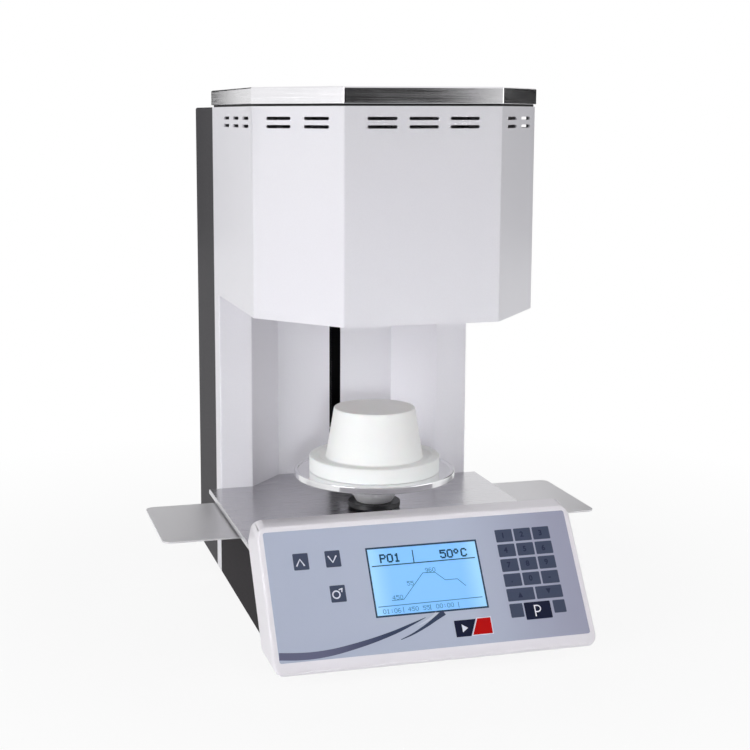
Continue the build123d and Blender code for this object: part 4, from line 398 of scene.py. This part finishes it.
# Moulded ABS: satin black, with the mould's spark grain on it.
black_plastic, tree, shader = finish("moulded_black_plastic", "#202022", 0.46, IOR=1.5)
grain(tree, shader, 0.7, 0.015, spread=0.07)
for node, name in (
    ("mains_inlet", "inlet_moulding"), ("pump_outlet", "outlet_moulding"),
    ("fuse_holder", "fuse_cap"), ("mains_switch", "switch_frame"), ("fan_frame", "fan_housing"),
):
    skin(node, name, black_plastic, edge=0.25)
skin("switch_rocker", "rocker_cap", black_plastic, body="rocker", edge=0.25)
skin("fan_rotor", "fan_wheel", black_plastic, body="fan", edge=0.2)
skin("fan_guard", "guard_wires", nickel, edge=0.5)

# Brass: a yellow shine, with fine lines along the port.
brass, tree, shader = finish("turned_brass", "#D3B26A", 0.24, Metallic=1.0)
grain(tree, shader, 0.3, 0.004, stretch=(1, 40, 1), spread=0.06)
skin("vacuum_port", "hose_port", brass, edge=0.3)

# ---- heating head ----
# White powder-coated cover with two rows of pressed vent slots, on a floor plate of the same
# sheet; bracket angles carry it from the column.
skin("head_cover", "head_sheet", white_coat)
skin("head_floor", "head_floor_sheet", white_coat)
coat(zinc, "head_brackets")

# ---- gasket and lid ----
# A black foam strip under a lid folded from ground stainless sheet, which covers the head and
# the column.

# Foam rubber: dead matt, with open pores.
foam, tree, shader = finish("foam_rubber", "#151516", 0.9)
grain(tree, shader, 0.5, 0.05)
coat(foam, "lid_gasket")

# Round its rim the lid's scratches run level, drawn 0.4 mm wide, and the shine is clear.
lid_steel, tree, shader = finish("ground_lid_sheet", "#E9E8EB", 0.17, Metallic=1.0)
grain(tree, shader, 0.4, 0.005, stretch=(120, 120, 1), spread=0.06, shade=0.04)
lid = skin("lid", "lid_sheet", lid_steel, edge=0.3)
# On top they run along the width, drawn 0.6 mm wide.
lid_top, tree, shader = finish("ground_lid_top", "#E9E8EB", 0.2, Metallic=1.0)
grain(tree, shader, 0.6, 0.006, stretch=(150, 1, 1), spread=0.06, shade=0.05)
lid.data.materials.append(lid_top)
for face in lid.data.polygons:
    face.material_index = int(face.normal.z > 0.9)

# ---- firing chamber ----
# Pressed ceramic fibre inside a zinc-plated can, round a quartz tube with its heater wire; a
# brown silicone ring under an aluminium flange seals against the raised plate.

# Turned aluminium: pale and satin.
aluminium, tree, shader = finish("turned_aluminium", "#CFCFD1", 0.32, Metallic=1.0)
grain(tree, shader, 0.4, 0.004, spread=0.08)
# Silicone: a soft gloss over brown.
silicone, tree, shader = finish("silicone", "#A5503A", 0.4)
grain(tree, shader, 0.6, 0.01, spread=0.05)
# Pressed ceramic fibre: dead matt, with tufts of 1.5 mm.
fibre, tree, shader = finish("ceramic_fibre", "#EFEBE0", 0.95)
grain(tree, shader, 1.5, 0.15, shade=0.12)
# Milky quartz: glossy and half clear, with slow waves of 3 mm.
quartz, tree, shader = finish("milky_quartz", "#F2F2EF", 0.25, Transmission_Weight=0.5, IOR=1.46)
grain(tree, shader, 3, 0.02, spread=0.06)
# Oxidised heater wire: dark, with patchy scale.
heater_wire, tree, shader = finish("oxidised_heater_wire", "#5A4A40", 0.6, Metallic=0.8)
grain(tree, shader, 0.5, 0.02, spread=0.1, shade=0.3)
# Fired ceramic: matt white, which light enters a little.
ceramic, tree, shader = finish("white_ceramic", "#FAFAF9", 0.55, Subsurface_Weight=0.08)
grain(tree, shader, 0.9, 0.01, spread=0.05, shade=0.01)
coat(aluminium, "chamber_ring")
coat(silicone, "ring_seal")
coat(zinc, "vacuum_can")
coat(fibre, "insulation_lower", "insulation_side", "insulation_top")
coat(quartz, "quartz_muffle")
coat(ceramic, "thermocouple")
coat(nickel, "heater_terminals")

# The lift and the chamber share one upright axis, at this Y. The coil is drawn as single turns.
AXIS_Y = -23.0
COIL_FOOT, COIL_TURNS, COIL_PITCH = 350.5, 19, 3.0
ring = turned([(50.2, 0), (51.5, -1.1), (52.8, 0), (51.5, 1.1), (50.2, 0)], 64)
turns = [(0, AXIS_Y, COIL_FOOT + COIL_PITCH * k) for k in range(COIL_TURNS)]
coil = repeat("heater_coil", ring, turns, heater_wire)
stand_for(coil, "heater_winding")

# ---- vacuum line ----
# Drawn brass pipe from the can to a solenoid valve with its coil on top, behind the port.
coat(brass, "vacuum_pipe", "vacuum_valve")

# ---- lift drive ----
# A stepper motor under a milled aluminium bracket turns a rolled steel screw; a carriage with
# bronze bushes runs on two ground rods. Limit switches stand at both ends.
coat(aluminium, "drive_bracket", "top_bearing_block", "lift_carriage", "shaft_coupling")
# Sintered bronze: dull and porous.
bronze, tree, shader = finish("sintered_bronze", "#B5854A", 0.5, Metallic=1.0)
grain(tree, shader, 0.4, 0.02, spread=0.08, shade=0.2)
coat(bronze, "carriage_bushes", "lead_nut")
# Ground steel rod: nearly a mirror, with lines along the rod.
ground_rod, tree, shader = finish("ground_rod_steel", "#C9CACC", 0.15, Metallic=1.0)
grain(tree, shader, 0.3, 0.002, stretch=(1, 1, 60), spread=0.04)
coat(ground_rod, "guide_rods", "motor_shaft")
coat(black_plastic, "lift_motor", "limit_switches")

# The thread is drawn as rings, one pitch high each.
SCREW_Y, THREAD_FOOT, THREAD_PITCH, THREAD_COUNT = 153.0, 66.0, 2.7, 100
RIDGE = [(0, 0), (4.1, 0), (4.1, 0.7), (5.0, 1.1), (5.0, 1.9), (4.1, 2.3), (4.1, 2.7), (0, 2.7)]
ridges = [(0, SCREW_Y, THREAD_FOOT + THREAD_PITCH * k) for k in range(THREAD_COUNT)]
# Black oxide on rolled steel: dark, with an oily shine.
oxide_steel, tree, shader = finish("black_oxide_steel", "#141315", 0.45, Metallic=0.6)
grain(tree, shader, 0.5, 0.004, stretch=(40, 40, 1), spread=0.06)
thread = repeat("screw_thread", turned(RIDGE, 32), ridges, oxide_steel)
stand_for(thread, "lead_screw", "screw")

# ---- lift plate and hub ----
# A dish and the tapered hub under it, turned from stainless bar about the lift's axis; the dish
# is polished. The hub stands on the arm's boss.

# Polished stainless: nearly a mirror, with faint turning rings. Real ones are under 0.1 mm wide
# and are drawn 0.6 mm wide.
RING_WIDTH, RING_DEPTH = 0.6, 0.003
polished, tree, shader = finish("polished_stainless", "#E8E8EA", 0.12, Metallic=1.0)
spot = put(tree, "ShaderNodeTexCoord")
centred = put(tree, "ShaderNodeMapping", {
    "Vector": spot.outputs["Object"], "Location": (0, -AXIS_Y / 1000, 0), "Scale": (1, 1, 0),
})
radius = put(tree, "ShaderNodeVectorMath", {0: centred}, operation="LENGTH")
rings = put(tree, "ShaderNodeTexNoise",
            {"W": radius.outputs["Value"], "Scale": 1000 / RING_WIDTH, "Detail": 2.0},
            noise_dimensions="1D")
relief = put(tree, "ShaderNodeBump", {"Height": rings, "Distance": RING_DEPTH / 1000})
tree.links.new(relief.outputs[0], shader.inputs["Normal"])


def lift_piece(name, node, profile, material, edge):
    """A turned piece of the lift, from a profile in mm about its axis, with rounded edges."""
    mesh = turned(profile, 160)
    for v in mesh.vertices:
        v.co.y += AXIS_Y / 1000
    mesh.materials.append(material)
    piece = place(name, mesh)
    round_edges(piece, edge, 3)
    stand_for(piece, node, "lift")


PLATE = [(0, 122), (30, 122), (76.5, 126), (76.5, 132), (73.7, 132), (72.5, 131), (8.2, 131),
         (8.2, 127.8), (0, 127.8)]
HUB = [(0, 100.5), (17, 100.5), (30, 122), (0, 122)]
lift_piece("plate_dish", "lift_plate", PLATE, polished, 0.6)
# The hub is turned stainless, drawn paler and less metallic than the dish: a painted brightness
# for the bright reflections it shows in the shade under the plate, with a soft shine.
brightened_hub_steel, tree, shader = finish("brightened_turned_stainless", "#F6F6F8", 0.4, Metallic=0.4)
grain(tree, shader, 0.8, 0.02, stretch=(60, 60, 1), spread=0.06)
lift_piece("hub_cone", "lift_hub", HUB, brightened_hub_steel, 0.4)

# ---- firing table ----
# A white ceramic plug on a flange, pressed and fired, with soft edges; it stands on the plate
# and closes the chamber.
TABLE = [(0, 128), (8, 128), (8, 131), (62, 131), (62, 145.5), (54, 145.5), (52.5, 144),
         (46.3, 144), (38.5, 191.5), (0, 191.5)]
lift_piece("ceramic_table", "firing_table", TABLE, ceramic, 1.2)

# ---- lift arm ----
# Black-coated steel: a round boss under the hub and a bar that runs back through the slot to
# the carriage, where it is screwed on.

# Satin black coat: a soft highlight and faint orange peel.
black_coat, tree, shader = finish("black_satin_coat", "#19191B", 0.4)
grain(tree, shader, 1.0, 0.012, spread=0.05)
skin("lift_arm", "arm", black_coat, body="lift", edge=0.4)

# ---- control panel housing ----
# A white slab of lacquered moulding with rounded corners, open behind; its back is closed by a
# zinc-plated sheet.

# White lacquer: smooth and bright, with a faint waviness of 1.4 mm.
lacquer, tree, shader = finish("white_lacquer", "#F0EDF3", 0.34)
grain(tree, shader, 1.4, 0.003, spread=0.03)
skin("panel_housing", "panel_slab", lacquer)
coat(zinc, "panel_back_sheet")

# ---- keypad foil ----
# A blue-grey foil glued on the slab over the contact domes. The keys are printed dark fields,
# with their marks over them, and a pale strip in the swoosh is a painted highlight. Sizes are in
# mm on the panel's slope.
LEAN, PANEL_FOOT_Y, PANEL_FOOT_Z = radians(34.3), -222.7, 13
FOIL_TOP, FOIL_THICK = 123.8, 0.3
# Metallic foil: a satin film with a fine sparkle, greyer and darker to the right.
foil, tree, shader = finish("metallic_foil", "#ADB5CA", 0.36, Metallic=0.35)
grain(tree, shader, 0.5, 0.004, spread=0.05)


def tint_across(material, start, end, first, last, ease="SMOOTHSTEP", mirrored=False):
    """Lets the colour change along X between two places in metres, or from the middle to both
    sides, and gives the colour's socket."""
    tree = material.node_tree
    spot = put(tree, "ShaderNodeTexCoord")
    split = put(tree, "ShaderNodeSeparateXYZ", {0: spot.outputs["Object"]})
    way = split.outputs["X"]
    if mirrored:
        way = put(tree, "ShaderNodeMath", {0: way}, operation="ABSOLUTE")
    along = put(tree, "ShaderNodeMapRange", {"Value": way, "From Min": start, "From Max": end},
                interpolation_type=ease)
    tone = put(tree, "ShaderNodeMix", {0: along, 6: hue(first), 7: hue(last)}, data_type="RGBA")
    tree.links.new(tone.outputs[2], tree.nodes["Principled BSDF"].inputs["Base Color"])
    return tone.outputs[2]


tint_across(foil, 0.02, 0.14, "#B2BACE", "#999BB0")
skin("panel_overlay", "foil", foil)


def on_foil(x, down, out):
    """A point on the panel: x to the right, down the slope from the foil's upper edge, and out
    from the foil's face, all in mm."""
    rise, depth = FOIL_TOP - down, -FOIL_THICK - out
    y = PANEL_FOOT_Y + depth * cos(LEAN) + rise * sin(LEAN)
    z = PANEL_FOOT_Z - depth * sin(LEAN) + rise * cos(LEAN)
    return Vector((x, y, z)) / 1000


def print_ink(name, outlines, material, layer):
    """Thin printed fields from closed outlines of (x, down); a layer is two heights over the
    foil."""
    low, high = layer
    shape = bmesh.new()
    for outline in outlines:
        turn = sum(a[0] * b[1] - b[0] * a[1] for a, b in zip(outline, outline[1:] + outline[:1]))
        ring = outline if turn < 0 else outline[::-1]
        top = [shape.verts.new(on_foil(x, down, high)) for x, down in ring]
        foot = [shape.verts.new(on_foil(x, down, low)) for x, down in ring]
        shape.faces.new(top)
        shape.faces.new(foot[::-1])
        for k in range(len(ring)):
            n = (k + 1) % len(ring)
            shape.faces.new((top[k], foot[k], foot[n], top[n]))
    mesh = bpy.data.meshes.new(name)
    shape.to_mesh(mesh)
    shape.free()
    mesh.materials.append(material)
    piece = place(name, mesh)
    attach(piece, "furnace")


def block(left, top, right, bottom):
    """Outline of a field with small round corners."""
    radius = 0.8
    spots = [(left, top, 180), (right, top, 270), (right, bottom, 0), (left, bottom, 90)]
    outline = []
    for (x, y, start), (sx, sy) in zip(spots, ((1, 1), (-1, 1), (-1, -1), (1, -1))):
        for step in range(4):
            turn = radians(start + 30 * step)
            outline.append((x + sx * radius + radius * cos(turn),
                            y + sy * radius + radius * sin(turn)))
    return outline


def smooth(points):
    """A soft course through points, each a tuple of numbers that change together."""
    steps = 6
    ends = [points[0]] + points + [points[-1]]
    course = []
    for a, b, c, d in zip(ends, ends[1:], ends[2:], ends[3:]):
        for t in (k / steps for k in range(steps)):
            course.append(tuple(
                q + 0.5 * t * (r - p + t * (
                    2 * p - 5 * q + 4 * r - s + t * (3 * q - p - 3 * r + s)))
                for p, q, r, s in zip(a, b, c, d)
            ))
    return course + [points[-1]]


def stroke(points, widths):
    """Outline of a line of changing width through points."""
    left, right = [], []
    for k, (x, y) in enumerate(points):
        ax, ay = points[max(k - 1, 0)]
        bx, by = points[min(k + 1, len(points) - 1)]
        run = hypot(bx - ax, by - ay)
        half = widths[k] / 2
        nx, ny = (by - ay) / run * half, (ax - bx) / run * half
        left.append((x + nx, y + ny))
        right.append((x - nx, y - ny))
    return left + right[::-1]


def line(points, width):
    """Outline of a line of one width through points."""
    return stroke(points, [width] * len(points))


def ink(name, colour, roughness=0.4, shade=0.0):
    """A screen-printed ink: flat and less shiny than the foil, with the screen's grain."""
    material, tree, shader = finish(name, colour, roughness, Specular_IOR_Level=0.15)
    grain(tree, shader, 0.6, 0.004, spread=0.05, shade=shade)
    return material


key_ink = ink("slate_print", "#454D63", 0.38, shade=0.06)
navy_ink = ink("navy_print", "#0B1230", 0.35)
red_ink = ink("red_print", "#BC0000", 0.35)
pale_ink = ink("pale_print", "#E2E5F0")
white_ink = ink("white_print", "#F4F5FA")
dark_ink = ink("dark_print", "#2A3148")

# Keys: a grid of twelve, two wide ones under it, then two small ones beside a dark one, and three
# at the left; a dark and a red start and stop key stand under the display.
FIELD, MARK, RIM, ON_RIM = (0, 0.04), (0.04, 0.07), (0, 0.03), (0.03, 0.06)
LEFT, TOP, RIGHT, BOTTOM, KEY_STEP, ROW_STEP = 69, 13.4, 84.9, 24.8, 17.5, 13.35
SIDE_WIDE, SIDE_HIGH = 6.65, 7.25
keys = [
    block(LEFT + KEY_STEP * column, TOP + ROW_STEP * row,
          RIGHT + KEY_STEP * column, BOTTOM + ROW_STEP * row)
    for row in range(4) for column in range(3)
]
keys += [block(69, 66.7, 94.1, 77.8), block(95.7, 66.7, 120.2, 77.8)]
keys += [block(69, 80, 81, 92), block(109, 80, 120.3, 91.2)]
keys += [
    block(x - SIDE_WIDE, y - SIDE_HIGH, x + SIDE_WIDE, y + SIDE_HIGH)
    for x, y in ((-108, 27.6), (-80, 27.3), (-80, 57.7))
]
print_ink("key_fields", keys, key_ink, FIELD)
start_key = [(16.8, 89.8), (36.4, 89.8), (30, 104), (16.8, 104)]
print_ink("dark_keys", [block(82.3, 79.9, 106.5, 95), start_key], navy_ink, FIELD)
red_rim = [(37.2, 88.9), (50.5, 88.9), (50.2, 104), (30.6, 104)]
red_key = [(37.9, 89.6), (49.8, 89.6), (49.5, 103.3), (31.6, 103.3)]
print_ink("red_key_rim", [red_rim], pale_ink, RIM)
print_ink("red_key", [red_key], red_ink, ON_RIM)

# Marks: chevrons and a ring on the left keys, arrows and numbers on the keypad.
RING_X, RING_DOWN, RING_RADIUS = -81.6, 58.4, 3.1
marks = [
    line([(-112.2, 31.4), (-108.7, 25.4), (-105.2, 31.4)], 1.3),
    line([(-84, 24.6), (-80.4, 30.4), (-76.8, 24.6)], 1.3),
]
for half in (0, 180):
    turns = [radians(half + 15 * k) for k in range(13)]
    arc = [(RING_X + RING_RADIUS * cos(turn), RING_DOWN + RING_RADIUS * sin(turn))
           for turn in turns]
    marks.append(line(arc, 1.2))
marks += [line([(-79, 54.4), (-75.6, 53.4)], 1.0), line([(-76, 53.2), (-76.6, 56.6)], 1.0)]
marks.append([(23.1, 93.5), (28.3, 96.9), (23.1, 100.3)])
print_ink("pale_marks", marks, pale_ink, MARK)
arrows = [[(81, 70.2), (83.2, 75), (78.8, 75)], [(105.2, 69.2), (109.8, 69.2), (107.5, 74)]]
print_ink("arrow_marks", arrows, dark_ink, MARK)


def number(name, sign, x, down):
    """A number printed on a key, centred on a spot. A 6 is a 9 turned round, because the
    font's own 6 comes out broken at this weight."""
    way = -1 if sign == "6" else 1
    script = bpy.data.curves.new(name, "FONT")
    script.body = "9" if sign == "6" else sign
    script.size, script.offset, script.extrude = 6.6, 0.22, 0.5
    script.align_x, script.align_y = "CENTER", "CENTER"
    draft = place(name + "_draft", script)
    mesh = bpy.data.meshes.new_from_object(draft)
    bpy.data.objects.remove(draft)
    low, high = MARK
    for v in mesh.vertices:
        u, w, t = v.co
        v.co = on_foil(x + way * u, down - way * w, low + (high - low) * (t + 0.5))
    mesh.materials.clear()
    mesh.materials.append(dark_ink)
    piece = place(name, mesh)
    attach(piece, "furnace")


for k, sign in enumerate("123456789.0-"):
    column, row = k % 3, k // 3
    number(f"number_{k + 1}", sign, 76 + 17.6 * column, 19.1 + 13.3 * row)
stem = line([(91.6, 82.6), (91.6, 92.6)], 1.1)
bowl = [(91.6, 83.2), (94.6, 83.2), (96.3, 84.2), (96.9, 85.9), (96.3, 87.6), (94.6, 88.6),
        (91.6, 88.6)]
letter = [stem] + [line([a, b], 1.0) for a, b in zip(bowl, bowl[1:])]
print_ink("letter_P", letter, white_ink, MARK)

# The plain swoosh across the foil: a broad stripe that thins as it climbs to the display, a
# second one from a point to the display's edge, and between them a pale strip that is a painted
# highlight of the foil's shine. The stripes darken to the right. Each point is x, down and width.
STRIPE, UNDER_STRIPE = (0.02, 0.04), (0, 0.02)
main = [(-137.3, 105.6, 6.2), (-122, 107, 6.2), (-107, 107.3, 5.9), (-91, 106.1, 5.4),
        (-73.5, 103.3, 4.8), (-55.5, 99.6, 4.1), (-37, 94.8, 3.2), (-24.5, 90.7, 2.3),
        (-7.5, 84.7, 0.4)]
second = [(-32, 101.3, 0.6), (-21, 97.6, 1.5), (-8.5, 91.9, 2.5), (1, 86.6, 3.6), (9.6, 81.7, 5)]
painted_highlight_course = [(-16, 91.2, 0.3), (-8, 88.2, 1.4), (-1, 84.9, 2.4), (3.8, 81.7, 4)]
bands = []
for course in map(smooth, (main, second, painted_highlight_course)):
    bands.append(stroke([(x, y) for x, y, w in course], [w for x, y, w in course]))
swoosh_ink = ink("stripe_print", "#3E465E", 0.38)
tint_across(swoosh_ink, -0.1, -0.04, "#666882", "#39425C", ease="LINEAR")
print_ink("swoosh", bands[:2], swoosh_ink, STRIPE)
# The pale strip is a painted highlight, laid on in pale ink between the two stripes.
print_ink("swoosh_gap", bands[2:], ink("painted_highlight_print", "#C6CCDB"), UNDER_STRIPE)

# ---- display ----
# A backlit blue dot-matrix display behind a clear window, glued into the foil's opening, with a
# dark line printed round it. Its dots and lines are dark blue, and its readings plain numbers.

# Its glow is weak, and paler towards both sides.
window, tree, shader = finish("backlit_display", "#6DBAF2", 0.22, Emission_Strength=0.15)
glow = tint_across(window, 0.03, 0.05, "#86C6FF", "#A4DBFF", mirrored=True)
tree.links.new(glow, shader.inputs["Emission Color"])
skin("display_window", "display_front", window)
GLASS = -0.1
FRAME, READING = (GLASS, GLASS + 0.12), (GLASS, GLASS + 0.03)
outer = [(-50.5, 20.3), (50.5, 20.3), (50.5, 81.3), (-50.5, 81.3)]
inner = [(-49, 21.8), (49, 21.8), (49, 79.8), (-49, 79.8)]
sides = [[outer[k], outer[(k + 1) % 4], inner[(k + 1) % 4], inner[k]] for k in range(4)]
print_ink("display_frame", sides, ink("frame_print", "#2C425C", 0.35), FRAME)
lcd_ink = ink("display_dots", "#1B4668")
thin_ink = ink("display_lines", "#4580AE")
header = [line([(-47, 36.9), (46.5, 36.4)], 0.9), line([(-8.9, 25), (-9.1, 36.8)], 0.9)]
print_ink("display_rules", header, lcd_ink, READING)
curve = [(-34.3, 67.6), (-23.7, 67.6), (-3, 46), (7.9, 46.4), (16, 53.8), (27, 53.8), (33.5, 60.4)]
graph = [line([a, b], 0.6) for a, b in zip(curve, curve[1:])]
graph += [line([(-47, 72.2), (46.5, 71.4)], 0.7)]
graph += [line([(x, 73.8), (x, 78.8)], 0.6) for x in (-25.5, -1.4, 23.8)]
print_ink("display_graph", graph, thin_ink, READING)

# Rows of dots for each sign, from the top, as five bits each.
GLYPHS = {
    "0": (14, 17, 17, 17, 17, 17, 14), "1": (4, 12, 4, 4, 4, 4, 14), "4": (2, 6, 10, 18, 31, 2, 2),
    "5": (31, 16, 30, 1, 1, 17, 14), "6": (14, 16, 16, 30, 17, 17, 14),
    "9": (14, 17, 17, 15, 1, 1, 14), "P": (30, 17, 17, 30, 16, 16, 16),
    "C": (14, 17, 16, 16, 16, 17, 14), "'": (12, 18, 18, 12, 0, 0, 0), ":": (0, 4, 4, 0, 4, 4, 0),
    " ": (0,) * 7,
}


def dots(name, lines, pitch, material, fill=0.5):
    """Dot-matrix readings, each (text, left, top), with Geometry Nodes setting out the dots; fill
    is half a dot's width as a share of the pitch."""
    spots = []
    for text, left, top in lines:
        for n, sign in enumerate(text):
            for row, bits in enumerate(GLYPHS[sign]):
                for column in range(5):
                    if bits >> (4 - column) & 1:
                        x = left + (6 * n + column + 0.5) * pitch
                        spots.append(on_foil(x, top + (row + 0.5) * pitch, GLASS) * 1000)
    half = pitch * fill
    corners = [(-half, -half), (half, -half), (half, half), (-half, half)]
    unit = bpy.data.meshes.new(name + "_dot")
    base = on_foil(0, 0, 0)
    unit.from_pydata([on_foil(x, y, 0.03) - base for x, y in corners], [], [(3, 2, 1, 0)])
    piece = repeat(name, unit, spots, material)
    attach(piece, "furnace")


dots("display_header", [("P01", -38.9, 27), ("50'C", 15.4, 27.2)], 1.06, lcd_ink, 0.7)
dots("display_values", [
    ("450", -33.4, 63.4), ("55", -18.6, 52.2), ("960", -0.6, 42),
    ("01:06", -43.6, 74.6), ("450 55", -21.4, 74.4), ("00:00", 3.6, 74),
], 0.55, thin_ink)

# ---- electrics in base and panel ----
# Green fibreglass boards with black parts, a transformer wound in polyester film, and the
# display's module, all hidden inside.

# Solder mask: a glossy green film over the weave.
solder_mask, tree, shader = finish("green_solder_mask", "#1F6B3E", 0.35)
grain(tree, shader, 4, 0.01, spread=0.08, shade=0.3)
# Polyester film: yellow and shiny, with wrinkles round the winding.
film, tree, shader = finish("polyester_film", "#D9BE6B", 0.3)
grain(tree, shader, 2, 0.05, stretch=(1, 1, 8), spread=0.1, shade=0.15)
coat(solder_mask, "control_board", "power_board")
coat(film, "transformer")
coat(black_plastic, "display_module")
